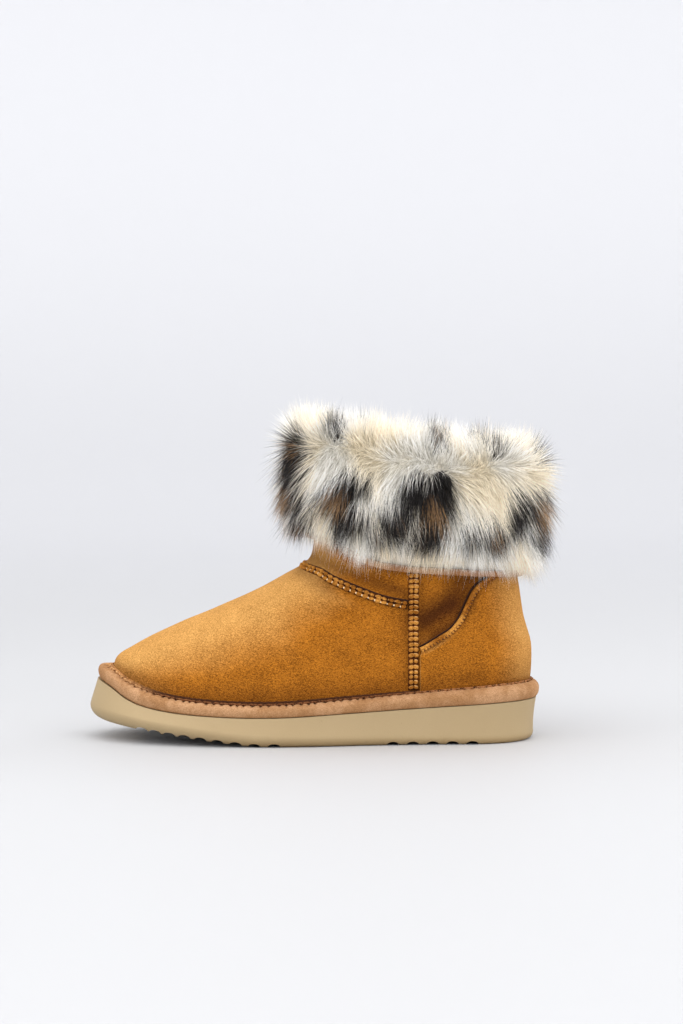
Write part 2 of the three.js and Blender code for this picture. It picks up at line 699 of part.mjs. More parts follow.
const boot = new THREE.Group();
function addPiece(name, geometry, material) {
  const mesh = new THREE.Mesh(geometry, material);
  mesh.name = name;
  boot.add(mesh);
}

addPiece('outsole', outsoleGeometry(), materials.outsole);
addPiece('wrapped_midsole', midsoleGeometry(), materials.wrap);
addPiece('insole', insoleGeometry(), materials.insole);
addPiece('upper', upperGeometry(), materials.upper);
addPiece('heel_counter', counterGeometry(), materials.upper);
addPiece('side_seam_outer', sideSeamGeometry(-1), materials.seam);
addPiece('side_seam_inner', sideSeamGeometry(1), materials.seam);
addPiece('instep_seam', instepSeamGeometry(), materials.seam);
addPiece('fur_cuff', cuffGeometry(), materials.fur);
addPiece('cuff_binding', hemGeometry(0), materials.hem);

export default boot;
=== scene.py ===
import math

import bmesh
import bpy
import numpy as np
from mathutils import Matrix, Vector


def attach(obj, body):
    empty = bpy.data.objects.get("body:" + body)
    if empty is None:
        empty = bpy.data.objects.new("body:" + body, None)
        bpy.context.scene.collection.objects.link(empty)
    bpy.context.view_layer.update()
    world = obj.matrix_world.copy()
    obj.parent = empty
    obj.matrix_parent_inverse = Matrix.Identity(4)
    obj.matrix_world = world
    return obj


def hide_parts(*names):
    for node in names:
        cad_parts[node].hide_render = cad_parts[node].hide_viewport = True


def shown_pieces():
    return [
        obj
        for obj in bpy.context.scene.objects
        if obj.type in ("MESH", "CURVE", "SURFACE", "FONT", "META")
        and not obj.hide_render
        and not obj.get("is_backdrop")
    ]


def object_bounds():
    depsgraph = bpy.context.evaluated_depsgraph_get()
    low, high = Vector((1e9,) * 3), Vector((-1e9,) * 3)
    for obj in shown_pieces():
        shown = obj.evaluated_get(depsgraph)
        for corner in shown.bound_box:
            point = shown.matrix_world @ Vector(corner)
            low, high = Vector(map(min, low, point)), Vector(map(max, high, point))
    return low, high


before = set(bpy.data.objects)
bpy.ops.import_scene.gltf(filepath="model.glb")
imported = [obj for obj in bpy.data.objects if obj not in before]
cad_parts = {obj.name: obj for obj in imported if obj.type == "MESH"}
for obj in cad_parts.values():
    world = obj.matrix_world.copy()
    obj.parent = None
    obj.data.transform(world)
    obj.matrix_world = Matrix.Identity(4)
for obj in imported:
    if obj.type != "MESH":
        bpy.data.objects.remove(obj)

cadLow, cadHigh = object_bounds()
scene = bpy.context.scene
mm = 0.001  # the shape functions below work in millimetres, the meshes are in metres

print("camera")
cameraSet = {"place": (0.0158, -1.5, 0.2), "pitch": 0.0431, "lens": 88, "sensor": 36, "near": 0.05}
cameraData = bpy.data.cameras.new("camera")
cameraData.lens = cameraSet["lens"]
cameraData.sensor_width = cameraSet["sensor"]
cameraData.clip_start = cameraSet["near"]
camera = bpy.data.objects.new("camera", cameraData)
camera.location = cameraSet["place"]
camera.rotation_euler = (math.pi / 2 - cameraSet["pitch"], 0, 0)
scene.collection.objects.link(camera)
scene.camera = camera


def sign(operation, reflected=False):  # one sign of a sum, as a Math node
    def apply(wire, other):
        return wire.net.maths(operation, *((other, wire) if reflected else (wire, other)))
    return apply


class Wire:  # one socket of a node, with the usual signs for sums
    def __init__(self, net, socket):
        self.net = net
        self.socket = socket

    def out(self, name):
        return Wire(self.net, self.socket.node.outputs[name])

    __add__, __radd__ = sign("ADD"), sign("ADD", True)
    __sub__, __rsub__ = sign("SUBTRACT"), sign("SUBTRACT", True)
    __mul__, __rmul__ = sign("MULTIPLY"), sign("MULTIPLY", True)
    __rtruediv__, __pow__ = sign("DIVIDE", True), sign("POWER")


class Net:  # a node tree; node() makes every node in it
    def __init__(self, tree):
        self.tree = tree

    def node(self, kind, settings=None, inputs=None, output=0):
        made = self.tree.nodes.new(kind)
        for name, value in (settings or {}).items():
            setattr(made, name, value)
        for key, value in (inputs or {}).items():
            if isinstance(value, Wire):
                self.tree.links.new(value.socket, made.inputs[key])
            else:
                made.inputs[key].default_value = value
        return Wire(self, made.outputs[output]) if made.outputs else None

    def maths(self, operation, *values):
        return self.node("ShaderNodeMath", {"operation": operation}, dict(enumerate(values)))

    def vector(self, operation, *values, output=0):
        settings = {"operation": operation}
        return self.node("ShaderNodeVectorMath", settings, dict(enumerate(values)), output)

    def scaled(self, vector, factor):
        inputs = {0: vector, "Scale": factor}
        return self.node("ShaderNodeVectorMath", {"operation": "SCALE"}, inputs)

    def joined(self, x=0.0, y=0.0, z=0.0):
        return self.node("ShaderNodeCombineXYZ", None, {0: x, 1: y, 2: z})

    def split(self, vector, part):
        return self.node("ShaderNodeSeparateXYZ", None, {0: vector}, part)

    def blend(self, factor, first, second, how="MIX"):  # sockets 6 and 7 take the two colours
        settings = {"data_type": "RGBA", "blend_type": how}
        return self.node("ShaderNodeMix", settings, {0: factor, 6: first, 7: second}, 2)

    def dimmed(self, colour, value, green, blue):  # darkens a colour, blue more than green and red
        tint = {0: value, 1: value ** green, 2: value ** blue}
        return self.blend(1.0, colour, self.node("ShaderNodeCombineColor", None, tint), "MULTIPLY")

    def step(self, value, low, high):  # smooth step from 0 at low to 1 at high
        settings = {"interpolation_type": "SMOOTHSTEP"}
        return self.node("ShaderNodeMapRange", settings, {0: value, 1: low, 2: high})

    def noise(self, place, scale, detail=2.0, rough=0.5, twist=0.0, output=0):
        inputs = {"Vector": place, "Scale": scale, "Detail": detail, "Roughness": rough,
                  "Distortion": twist}
        return self.node("ShaderNodeTexNoise", None, inputs, output)

    def place(self, turn=(0, 0, 0), scale=(1, 1, 1)):  # Object coordinates
        inputs = {"Vector": self.node("ShaderNodeTexCoord", output="Object"), "Rotation": turn,
                  "Scale": scale}
        return self.node("ShaderNodeMapping", None, inputs)

    def attribute(self, name, output="Fac"):
        return self.node("ShaderNodeAttribute", {"attribute_name": name}, None, output)

    def bump(self, height, strength, distance):
        inputs = {"Height": height, "Strength": strength, "Distance": distance}
        return self.node("ShaderNodeBump", None, inputs)


def rgba(*parts):  # screen colour to the linear values that shaders take
    def linear(part):
        part /= 255
        return part / 12.92 if part <= 0.04045 else ((part + 0.055) / 1.055) ** 2.4
    return (*(linear(part) for part in parts), 1)


def newMaterial(name, sockets):
    material = bpy.data.materials.new(name)
    material.use_nodes = True
    net = Net(material.node_tree)
    shader = material.node_tree.nodes["Principled BSDF"]
    for socket, value in sockets.items():
        shader.inputs[socket].default_value = value

    def feed(**links):  # the spaces of socket names are written as underscores
        for socket, wire in links.items():
            net.tree.links.new(wire.socket, shader.inputs[socket.replace("_", " ")])
    return material, net, feed


print("shape of the boot")
last = {
    "length": 249.5, "heelX": 127.5, "ballWidth": 87, "heelWidth": 65,
    "waistInner": 4.5, "waistOuter": 1.2, "waistAt": 0.42, "waistSpan": 0.13, "waistFade": 0.7,
    "toeSwing": 7, "swingStart": 0.45, "swingSpan": 0.6,
    "widenStart": 0.2, "ballOuterAt": 0.62, "ballInnerAt": 0.69, "heelCurve": 2.4, "toeCurve": 2.1,
    "instepHeight": 106, "ankleHeight": 97, "shaftDepth": 120, "shaftWidth": 80, "shaftLean": 8.5,
    "collarFront": 172, "collarBack": 156, "seatFollow": 0.62,
    "heelSeat": 35, "ballSeat": 24, "toeSeat": 41, "gap": 0.3, "wall": 2.6,
}
throatX = last["heelX"] - last["shaftLean"] - last["shaftDepth"]
toeX = last["heelX"] - last["length"]


def table(names, rows):
    return dict(zip(names.split(), np.array(rows, float).T))


# from the sole to the collar, each as a share of the last's own sizes
sections = table("reach frontUp backUp shaftUp backIn rear fore shaft heelRound toeRound", [
    [1, 0, 0, 0, 0, 1, 1, 0, 0.16, 0.33],
    [0.98, 0.115, 0.19, 0, -0.09, 1.06, 1.04, 0, 0.17, 0.34],
    [0.925, 0.24, 0.36, 0, -0.05, 1.08, 1.04, 0, 0.18, 0.36],
    [0.81, 0.4, 0.5, 0, 0.22, 1.07, 1, 0.02, 0.19, 0.39],
    [0.66, 0.525, 0.62, 0, 0.46, 1.06, 0.95, 0.06, 0.22, 0.42],
    [0.49, 0.622, 0.73, 0, 0.61, 1.06, 0.905, 0.14, 0.26, 0.44],
    [0.312, 0.732, 0.84, 0, 0.73, 1.06, 0.87, 0.3, 0.31, 0.46],
    [0.15, 0.868, 0.935, 0, 0.84, 1.07, 0.86, 0.52, 0.36, 0.48],
    [0.036, 0.982, 0.995, 0.01, 0.92, 1.08, 0.86, 0.74, 0.41, 0.49],
    [0.002, 1, 1, 0.12, 0.98, 1.1, 0.87, 0.9, 0.45, 0.495],
    [-0.004, 1, 1, 0.34, 1.02, 1.12, 0.88, 1, 0.49, 0.5],
    [-0.004, 1, 1, 0.64, 1, 1.12, 0.88, 1.02, 0.5, 0.5],
    [0.004, 1, 1, 1, 0.9, 1.12, 0.88, 1.04, 0.5, 0.5],
])
sections["at"] = np.linspace(0, 1, len(sections["reach"]))
seatLine = table("at heel toe", [
    [-0.04, 1.04, 0], [0.06, 0.96, 0], [0.15, 0.8, 0], [0.29, 0.54, 0], [0.44, 0.26, 0],
    [0.62, 0, 0], [0.78, 0, 0.07], [0.88, 0, 0.27], [0.955, 0, 0.64], [1, 0, 1.03],
    [1.04, 0, 1.26],
])
springLine = table("at lift", [
    [0.6, 0], [0.645, 0], [0.72, 0.14], [0.8, 0.335], [0.88, 0.53], [0.96, 0.75], [1.05, 1],
])


def column(rows, key, t):  # one column of a table at t, smooth between the rows
    at, value = rows["at"], rows[key]
    t = np.asarray(t, float)
    i = np.searchsorted(at[1:-1], t, side="left")
    before, after = np.maximum(i - 1, 0), np.minimum(i + 2, len(at) - 1)
    span = at[i + 1] - at[i]
    slopeA = (value[i + 1] - value[before]) / (at[i + 1] - at[before])
    slopeB = (value[after] - value[i]) / (at[after] - at[i])
    k = (t - at[i]) / span
    return ((2 * k**3 - 3 * k**2 + 1) * value[i] + (k**3 - 2 * k**2 + k) * span * slopeA
            + (3 * k**2 - 2 * k**3) * value[i + 1] + (k**3 - k**2) * span * slopeB)


def mix(a, b, t):
    return a + (b - a) * t


def smooth(t):
    t = np.clip(t, 0, 1)
    return t * t * (3 - 2 * t)


def unit(vectors):
    return vectors / np.maximum(np.linalg.norm(vectors, axis=-1, keepdims=True), 1e-9)


def alongLast(x):
    return (last["heelX"] - x) / last["length"]


def frontShare(u):  # 0 at the back of the heel, 1 at the tip of the toe
    return (1 - np.cos(2 * np.pi * np.asarray(u, float))) / 2


def turnAt(share):  # u of the outer side at that share
    return np.arccos(1 - 2 * np.clip(share, 0, 1)) / (2 * np.pi)


def seatHeight(x):
    t = alongLast(x)
    return (last["ballSeat"] + (last["heelSeat"] - last["ballSeat"]) * column(seatLine, "heel", t)
            + (last["toeSeat"] - last["ballSeat"]) * column(seatLine, "toe", t))


def middleY(x):
    return last["toeSwing"] * smooth((alongLast(x) - last["swingStart"]) / last["swingSpan"])


def halfWidth(s, v, x, inner):
    shaft = np.clip(column(sections, "shaft", v), 0, 1)
    rear = mix(column(sections, "rear", v) * last["heelWidth"], last["shaftWidth"], shaft) / 2
    fore = mix(column(sections, "fore", v) * last["ballWidth"], last["shaftWidth"], shaft) / 2
    ballAt = np.where(inner, last["ballInnerAt"], last["ballOuterAt"])
    wide = mix(rear, fore, smooth((s - last["widenStart"]) / (ballAt - last["widenStart"])))
    drawnIn = np.where(inner, last["waistInner"], last["waistOuter"]) * (1 - shaft)
    waist = drawnIn * (1 - last["waistFade"] * np.clip(2 * v, 0, 1))
    arch = waist * np.exp(-((alongLast(x) - last["waistAt"]) / last["waistSpan"]) ** 2)
    intoHeel = np.maximum(1 - s / column(sections, "heelRound", v), 0)
    intoToe = np.maximum(1 - (1 - s) / column(sections, "toeRound", v), 0)
    ends = np.maximum(1 - intoHeel ** last["heelCurve"] - intoToe ** last["toeCurve"], 0)
    return (wide - arch) * np.sqrt(ends)


def backAt(v):
    return last["heelX"] - last["shaftLean"] * column(sections, "backIn", v)


def frontAt(v):
    return mix(throatX, toeX, column(sections, "reach", v))


def upperSkin(u, v):  # u runs round from the back by the outer side, v from the sole to the collar
    u, v = np.broadcast_arrays(np.asarray(u, float) % 1, np.asarray(v, float))
    s = frontShare(u)
    shaftUp = column(sections, "shaftUp", v)
    backZ = (mix(last["heelSeat"], last["ankleHeight"], column(sections, "backUp", v))
             + shaftUp * (last["collarBack"] - last["ankleHeight"]))
    frontZ = (mix(last["toeSeat"], last["instepHeight"], column(sections, "frontUp", v))
              + shaftUp * (last["collarFront"] - last["instepHeight"]))
    x = mix(backAt(v), frontAt(v), s)
    inner = u >= 0.5
    straight = mix(last["heelSeat"], last["toeSeat"], s)
    follow = (1 - smooth(v / last["seatFollow"])) * (seatHeight(x) - straight)
    z = mix(backZ, frontZ, s) + follow + last["gap"]
    y = middleY(x) + np.where(inner, 1, -1) * halfWidth(s, v, x, inner)
    return np.stack([x, y, z], -1)


surfaceStep = 1e-3  # step of u and v over which a slope is measured


def upperNormal(u, v):
    around = upperSkin(u + surfaceStep, v) - upperSkin(u - surfaceStep, v)
    above, below = np.minimum(v + surfaceStep, 1), np.maximum(v - surfaceStep, 0)
    return unit(np.cross(upperSkin(u, above) - upperSkin(u, below), around))


def riseTo(height, turnOf):  # u and v at which the upper reaches a height; turnOf gives u for a v
    low, high = np.zeros(height.shape), np.ones(height.shape)
    for _ in range(30):
        v = (low + high) / 2
        under = upperSkin(turnOf(v), v)[..., 2] < height
        low, high = np.where(under, v, low), np.where(under, high, v)
    v = (low + high) / 2
    return turnOf(v), v


def heightPlace(u, height):
    u, height = np.broadcast_arrays(np.asarray(u, float), np.asarray(height, float))
    return riseTo(height, lambda v: u)[1]


def locate(x, z, inner=False):  # u and v of the place that a side view shows at x and z
    x, z = np.broadcast_arrays(np.asarray(x, float), np.asarray(z, float))

    def turnOf(v):
        u = turnAt((backAt(v) - x) / (backAt(v) - frontAt(v)))
        return 1 - u if inner else u
    return riseTo(z, turnOf)


def soleOutline(u, heelGrow, toeGrow):  # the last's outline on the sole, grown outwards
    ahead = upperSkin(u + surfaceStep, 0) - upperSkin(u - surfaceStep, 0)
    outward = unit(np.stack([-ahead[..., 1], ahead[..., 0]], -1))
    return upperSkin(u, 0)[..., :2] + outward * mix(heelGrow, toeGrow, frontShare(u))[..., None]


def atSeat(place, up):  # places on the sole's plan, lifted to the seat and a bit above it
    return np.column_stack([place, seatHeight(place[:, 0]) + up])


def addMesh(name, points, faces, materials, edges=()):
    mesh = bpy.data.meshes.new(name)
    mesh.from_pydata((np.asarray(points, float).reshape(-1, 3) * mm).tolist(), list(edges), faces)
    mesh.update()
    piece = bpy.data.objects.new(name, mesh)
    scene.collection.objects.link(piece)
    for one in materials:
        mesh.materials.append(one)
    mesh.polygons.foreach_set("use_smooth", [True] * len(mesh.polygons))
    return piece


def addValues(piece, values, kind="FLOAT"):  # numbers or directions for each point of a mesh
    for label, value in values.items():
        layer = piece.data.attributes.new(label, kind, "POINT").data
        layer.foreach_set("value" if kind == "FLOAT" else "vector", np.ravel(value))


def faceOutwards(piece):
    net = bmesh.new()
    net.from_mesh(piece.data)
    bmesh.ops.remove_doubles(net, verts=net.verts, dist=1e-7)
    bmesh.ops.recalc_face_normals(net, faces=net.faces)
    net.to_mesh(piece.data)
    net.free()


def gridFaces(rows, columns, loopRows=False, loopColumns=True):
    faces = []
    for r in range(rows if loopRows else rows - 1):
        above = (r + 1) % rows
        for c in range(columns if loopColumns else columns - 1):
            d = (c + 1) % columns
            faces.append((r * columns + c, r * columns + d, above * columns + d,
                          above * columns + c))
    return faces


def endFaces(start, n):  # closes a ring straight across, from its back point to its front point
    faces = []
    for i in range(n // 2):
        corners = [start + i, start + i + 1, start + n - i - 1, start + (n - i) % n]
        faces.append(tuple(dict.fromkeys(corners)))
    return faces


def loftPiece(name, rings, materials, ends=False):
    # without ends the rings run round a closed section, with ends from the bottom to the top
    rings = np.array(rings)
    count, n = rings.shape[:2]
    faces = gridFaces(count, n, loopRows=not ends)
    if ends:
        faces += endFaces(0, n) + endFaces((count - 1) * n, n)
    piece = addMesh(name, rings, faces, materials)
    faceOutwards(piece)
    return piece


def patchPiece(name, top, under, material):  # an open patch with its underside and its rim
    top, under = np.array(top), np.array(under)
    rows, columns = top.shape[:2]
    size = rows * columns
    faces = gridFaces(rows, columns, loopColumns=False)
    faces += [tuple(size + i for i in reversed(face)) for face in faces]
    rim = ([c for c in range(columns)] + [r * columns + columns - 1 for r in range(1, rows)]
           + [(rows - 1) * columns + c for c in range(columns - 2, -1, -1)]
           + [r * columns for r in range(rows - 2, 0, -1)])
    for a, b in zip(rim, rim[1:] + rim[:1]):
        faces.append((a, b, size + b, size + a))
    points = np.concatenate([top.reshape(-1, 3), under.reshape(-1, 3)])
    piece = addMesh(name, points, faces, [material])
    faceOutwards(piece)
    return piece


def settle(piece, slotName, *nodes):
    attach(piece, "root")
    if nodes:
        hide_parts(*nodes)
    return piece


print("materials")
nap = {"blotch": 60, "worms": 900, "grain": 1600, "lean": 0.72, "stretch": 1.9, "relief": 0.0006,
       "darkest": 0.42, "brightest": 1.52}


def suedeMaterial(name, low, high, deep=None, contrast=1.0):
    # low, high: steep faces in painted shade and upward ones in painted light; without deep, two
    # random tones. deep: painted shade in hollows
    material, net, feed = newMaterial(name, {
        "Roughness": 0.95, "Specular IOR Level": 0.1, "Sheen Weight": 0.3, "Sheen Roughness": 0.5,
        "Sheen Tint": high,
    })
    napPlace = net.place(turn=(0, nap["lean"], 0), scale=(1, 1, nap["stretch"]))
    blotch = net.noise(net.place(), nap["blotch"], 3, 0.6)
    worms = net.noise(napPlace, nap["worms"], 3, 0.6, 0.5)
    grain = net.noise(napPlace, nap["grain"], 2, 0.6)
    tone = (blotch * 0.12 + worms * 0.4 + grain * 0.48 - 0.5) * contrast
    if deep:  # the grain shows more on steep faces, where the painted light is low
        light = net.attribute("light")
        tone = tone * (1.85 - light * 0.95)
        # painted light on faces turned up and sideways, painted shade in the hollows
        flat = net.blend(net.attribute("hollow"), net.blend(light, low, high), deep)
    else:
        flat = net.blend(net.step(blotch, 0.38, 0.62), low, high)
    bright = net.node("ShaderNodeMapRange", None, {
        0: tone, 1: -0.15, 2: 0.15, 3: nap["darkest"], 4: nap["brightest"]})
    feed(Base_Color=net.dimmed(flat, bright, 1.12, 1.4),
         Normal=net.bump(worms * 0.5 + grain * 0.5, 0.6, nap["relief"]))
    return material


def grainMaterial(name, colour, second, scale, roughness, depth):
    material, net, feed = newMaterial(name, {"Roughness": roughness, "Specular IOR Level": 0.3})
    grain = net.noise(net.place(), scale, 4, 0.6)
    feed(Base_Color=net.blend(grain, colour, second), Normal=net.bump(grain, 0.4, depth))
    return material


# suede of the upper and the heel counter: steep faces painted darker, upward ones lighter, with
# painted shade (68, 33, 9) in the hollows
suede = suedeMaterial("suede_nap_painted_light_and_shade", rgba(157, 95, 24), rgba(192, 141, 76), rgba(68, 33, 9))
bandSuede = suedeMaterial("band_suede", rgba(162, 119, 80), rgba(180, 138, 100), contrast=0.6)
hemSuede = suedeMaterial("hem_suede", rgba(157, 110, 73), rgba(181, 138, 101), contrast=0.6)
pillowSuede = suedeMaterial("seam_suede", rgba(144, 86, 25), rgba(190, 131, 58), contrast=1.2)
# near-black brown welt under the seam pillows: painted shade in the gaps between them
weltShadeSuede = suedeMaterial("welt_suede_painted_shade", rgba(52, 25, 8), rgba(84, 44, 14))
threadHighlight, threadCreamHighlight, threadGold, threadBrown, grooveShadow, fleece, grooveWallShade = (
    grainMaterial(name, rgba(*colour), rgba(*second), scale, roughness, depth)
    for name, colour, second, scale, roughness, depth in (
        # the next two are the golden thread painted lighter: painted highlights
        ("thread_painted_highlight", (186, 128, 60), (232, 192, 132), 900, 0.6, 0.0002),
        ("thread_cream_painted_highlight", (222, 180, 124), (250, 226, 184), 900, 0.6, 0.0002),
        ("thread_gold", (150, 92, 34), (206, 150, 78), 900, 0.7, 0.0002),
        ("thread_brown", (66, 34, 16), (118, 70, 38), 700, 0.7, 0.0002),
        # near-black cords that stand for the shade in grooves: painted shadow
        ("groove_painted_shadow", (34, 16, 6), (62, 32, 13), 500, 0.9, 0.0002),
        ("fleece", (214, 196, 160), (246, 236, 214), 260, 1.0, 0.003),
        # near-black for the walls of the sole's grooves: painted shade
        ("groove_wall_painted_shade", (20, 18, 16), (38, 34, 30), 300, 0.8, 0.0003),
    ))


def soleMaterial():
    material, net, feed = newMaterial("moulded_sole", {
        "Roughness": 0.62, "Specular IOR Level": 0.32})
    place = net.place()
    cloud = net.noise(place, 22, 3, 0.5)
    pits = net.noise(place, 1500, 3, 0.65)
    specks = net.step(net.noise(place, 240, 2, 0.5), 0.72, 0.78)
    floorShade = (1 - net.step(net.split(place, "Z"), 0.001, 0.006)) * 0.55  # painted shade near the floor
    tone = net.blend(cloud * 0.6 + pits * 0.4, rgba(160, 137, 100), rgba(175, 153, 116))
    # painted shade, darker towards the floor
    tone = net.blend(floorShade, tone, rgba(152, 124, 82))
    feed(Base_Color=net.blend(specks * 0.3, tone, rgba(132, 108, 72)),
         Roughness=0.55 + pits * 0.15, Normal=net.bump(pits, 0.25, 0.0003))
    return material


print("upper")
upperSet = {
    "around": 264, "rings": 88, "innerRings": 22,
    # soft troughs and ridges: from x, z to x, z in side view, depth in mm (down is minus), width
    "creases": [
        (66, 67, 88, 92, -2.3, 8.5, "outer"), (68, 64, 92, 90, -1.6, 9, "inner"),
        (60, 100, 92, 104, 0.9, 8, "both"), (4, 94, 46, 78, -0.9, 5.5, "both"),
        (8, 106, 50, 94, 1.1, 6, "both"), (-28, 86, -6, 52, -0.7, 9, "both"),
        (-12, 92, 14, 60, 0.6, 8, "both"), (-62, 70, -48, 42, -0.35, 8, "both"),
        (14, 62, 44, 52, -0.6, 9, "both"), (98, 62, 118, 70, -0.5, 9, "both"),
        (28, 128, 96, 116, -0.8, 9, "both"),
    ],
    # painted shade in hollows, beside the seams and along the counter's edge: from x, z to x, z in
    # side view, amount, width
    "paintedShadeLines": [
        (65, 73, 80, 82, 0.95, 9, "outer"), (82, 84, 92, 98, 0.6, 7, "outer"),
        (60, 62, 62, 118, 0.35, 4, "both"), (-8, 101, 8, 92, 0.4, 5, "both"),
        (-2, 109, 54, 89, 0.55, 4.5, "both"), (54, 40, 54, 84, 0.35, 3.5, "both"),
        (84, 96, 104, 103, 0.35, 7, "both"), (66, 72, 84, 84, 0.6, 9, "inner"),
        (82, 84, 92, 98, 0.4, 7, "inner"), (61, 58, 72, 64.5, 0.5, 2.6, "both"),
        (72, 64.5, 86, 75, 0.75, 3, "both"), (86, 75, 93, 88, 0.8, 3, "both"),
        (93, 88, 102, 98, 0.45, 2.4, "both"),
    ],
}


def streak(x, z, row):  # amount of one of those rows at x and z
    x0, z0, x1, z1, amount, width, _ = row
    t = ((x - x0) * (x1 - x0) + (z - z0) * (z1 - z0)) / ((x1 - x0) ** 2 + (z1 - z0) ** 2)
    t = np.clip(t, 0, 1)
    away = np.hypot(x - x0 - t * (x1 - x0), z - z0 - t * (z1 - z0))
    return amount * np.exp(-(away / width) ** 2)


def dressed(u, v, lift):  # point of the creased upper, lifted off it
    skin = upperSkin(u, v)
    x, y, z = np.moveaxis(skin, -1, 0)
    side = np.clip((y - middleY(x)) / 14, -1, 1)
    reach = {"outer": np.clip(-side, 0, 1), "inner": np.clip(side, 0, 1),
             "both": np.abs(side) * 0.75 + 0.25}
    crease = sum(streak(x, z, row) * reach[row[-1]] for row in upperSet["creases"])
    return skin + upperNormal(u, v) * (crease + lift)[..., None]


def shadeNap(piece):  # painted light and shade at every point of a suede piece: light on faces turned up and sideways, hollow for painted shade
    mesh = piece.data
    place, normal = np.empty(len(mesh.vertices) * 3), np.empty(len(mesh.vertices) * 3)
    mesh.vertices.foreach_get("co", place)
    mesh.vertex_normals.foreach_get("vector", normal)
    x, y, z = place.reshape(-1, 3).T / mm
    leanX, _, leanZ = normal.reshape(-1, 3).T
    # painted light: lighter where the face turns up or sideways
    light = smooth((leanZ - 0.1) / 0.65) + 0.75 * smooth((np.abs(leanX) - 0.3) / 0.6)
    # painted shade low on the upper by the band, then along the listed lines
    hollow = 0.4 * smooth(1 - (z - seatHeight(x)) / 15)
    for row in upperSet["paintedShadeLines"]:
        here = {"outer": y < 0, "inner": y > 0, "both": True}[row[-1]]
        hollow = hollow + (1 - hollow) * streak(x, z, row) * here
    addValues(piece, {"light": np.clip(light, 0, 1), "hollow": np.clip(hollow, 0, 1)})


turns = np.arange(upperSet["around"]) / upperSet["around"]
outside = [dressed(turns, v, 0.0) for v in np.linspace(0, 1, upperSet["rings"])]
inside = [dressed(turns, v, -last["wall"]) for v in np.linspace(1, 0, upperSet["innerRings"])]
inside[-1][:, 2] = seatHeight(inside[-1][:, 0]) + last["gap"]
upper = loftPiece("upper_suede", outside + inside, [suede, fleece])
liningStart = (len(outside) + 1) * len(turns)
for face in upper.data.polygons:
    face.material_index = int(min(face.vertices) >= liningStart)
shadeNap(upper)
settle(upper, "suede", "upper")


print("sole")
band = {"heelThickness": 10, "foreThickness": 6.8, "toeThickness": 9.4, "toeThickening": 2,
        "heelReach": 6.9, "toeReach": 8.8, "around": 1060, "rollSteps": 14,
        "puckers": 132, "puckerDepth": 1.15, "swell": 0.18, "underRound": 0.45,
        "rearStrength": 0.35, "rearStart": 70, "rearSpan": 60}


def bandThickness(x):
    t = alongLast(x)
    heel = np.clip(column(seatLine, "heel", t), 0, 1)
    toe = np.clip(band["toeThickening"] * column(seatLine, "toe", t), 0, 1)
    return (band["foreThickness"] + (band["heelThickness"] - band["foreThickness"]) * heel
            + (band["toeThickness"] - band["foreThickness"]) * toe)


def stitchStrength(x):  # the stitches over the band are strongest from the toe to the middle
    return mix(band["rearStrength"], 1, smooth((band["rearStart"] - x) / band["rearSpan"]))


def lengthAlong(points):
    steps = np.linalg.norm(np.diff(points, axis=0), axis=1)
    return np.concatenate([[0], np.cumsum(steps)])


def evenTurns(count, grow):  # places round the sole at even distances
    fine = np.linspace(0, 1, 2001)
    far = lengthAlong(soleOutline(fine, grow, grow))
    return np.interp(np.arange(count) / count * far[-1], far, fine)


def puckerWave(count):  # 1 where the stitches pull the band in, with uneven steps and depths
    turn = 2 * np.pi * np.arange(count) / count
    phase = turn * band["puckers"] / 2 + 0.5 * np.sin(18 * turn + 1) + 0.4 * np.sin(43 * turn)
    depth = 0.9 + 0.1 * np.sin(29 * turn + 2) * np.sin(11 * turn)
    return np.cos(phase) ** 2 * depth


bandTurns = evenTurns(band["around"], band["toeReach"])
pucker = puckerWave(band["around"])


def bandRing(angle):  # the roll's section runs from its lowest line by the outside to its top line
    widest = soleOutline(bandTurns, band["heelReach"], band["toeReach"])
    half = bandThickness(widest[:, 0]) / 2
    pull = half * (1 - math.cos(angle)) * (band["underRound"] if angle < 0 else 1)
    place = soleOutline(bandTurns, band["heelReach"] - pull, band["toeReach"] - pull)
    notch = (band["puckerDepth"] * stitchStrength(place[:, 0]) * pucker**3
             * smooth((angle - 0.35) / 0.9))
    swell = band["swell"] * (1 - pucker) * max(math.cos(angle), 0)
    away = unit(widest - place + 1e-6 * (widest - widest.mean(0)))
    place = place + away * (notch * 0.8 + swell)[:, None]
    return atSeat(place, half * math.sin(angle) - notch - bandThickness(place[:, 0]) / 2)


rollAngles = np.linspace(-math.pi / 2, math.pi / 2, band["rollSteps"])
wrapBand = loftPiece("wrapped_band", [bandRing(angle) for angle in rollAngles], [bandSuede], True)
settle(wrapBand, "wrap", "wrapped_midsole")

sole = {"heelInset": 1.6, "toeOutset": 0.3, "toeFlare": 4.7, "heelTuck": 1.8, "toeSpring": 12.3,
        "footHeelRadius": 4, "footToeRadius": 7, "hollow": 0.4, "around": 420, "footSteps": 7,
        "sideSteps": 9, "sideCurve": 1.35, "sharpAngle": 38, "grooveWidth": 7.4,
        "grooveDepth": 2.2, "grooveReach": 90, "heelStart": 46, "heelPitch": 11.7,
        "heelCount": 5, "foreStart": -23.5, "forePitch": 11.8, "foreCount": 9,
        "foreCrowding": 0.021}


def bottomHeight(x):
    t = alongLast(x)
    lift = sole["toeSpring"] * column(springLine, "lift", t)
    return np.where(t < springLine["at"][1], 0, lift)


soleTurns = evenTurns(sole["around"], band["toeReach"])
soleRim = soleOutline(soleTurns, 0, 0)
heelTop, toeTop = band["heelReach"] - sole["heelInset"], band["toeReach"] + sole["toeOutset"]
topEdge = soleOutline(soleTurns, heelTop, toeTop)
soleTop = atSeat(topEdge, -bandThickness(topEdge[:, 0]) - last["gap"])
soleOutward = unit(topEdge - soleRim)


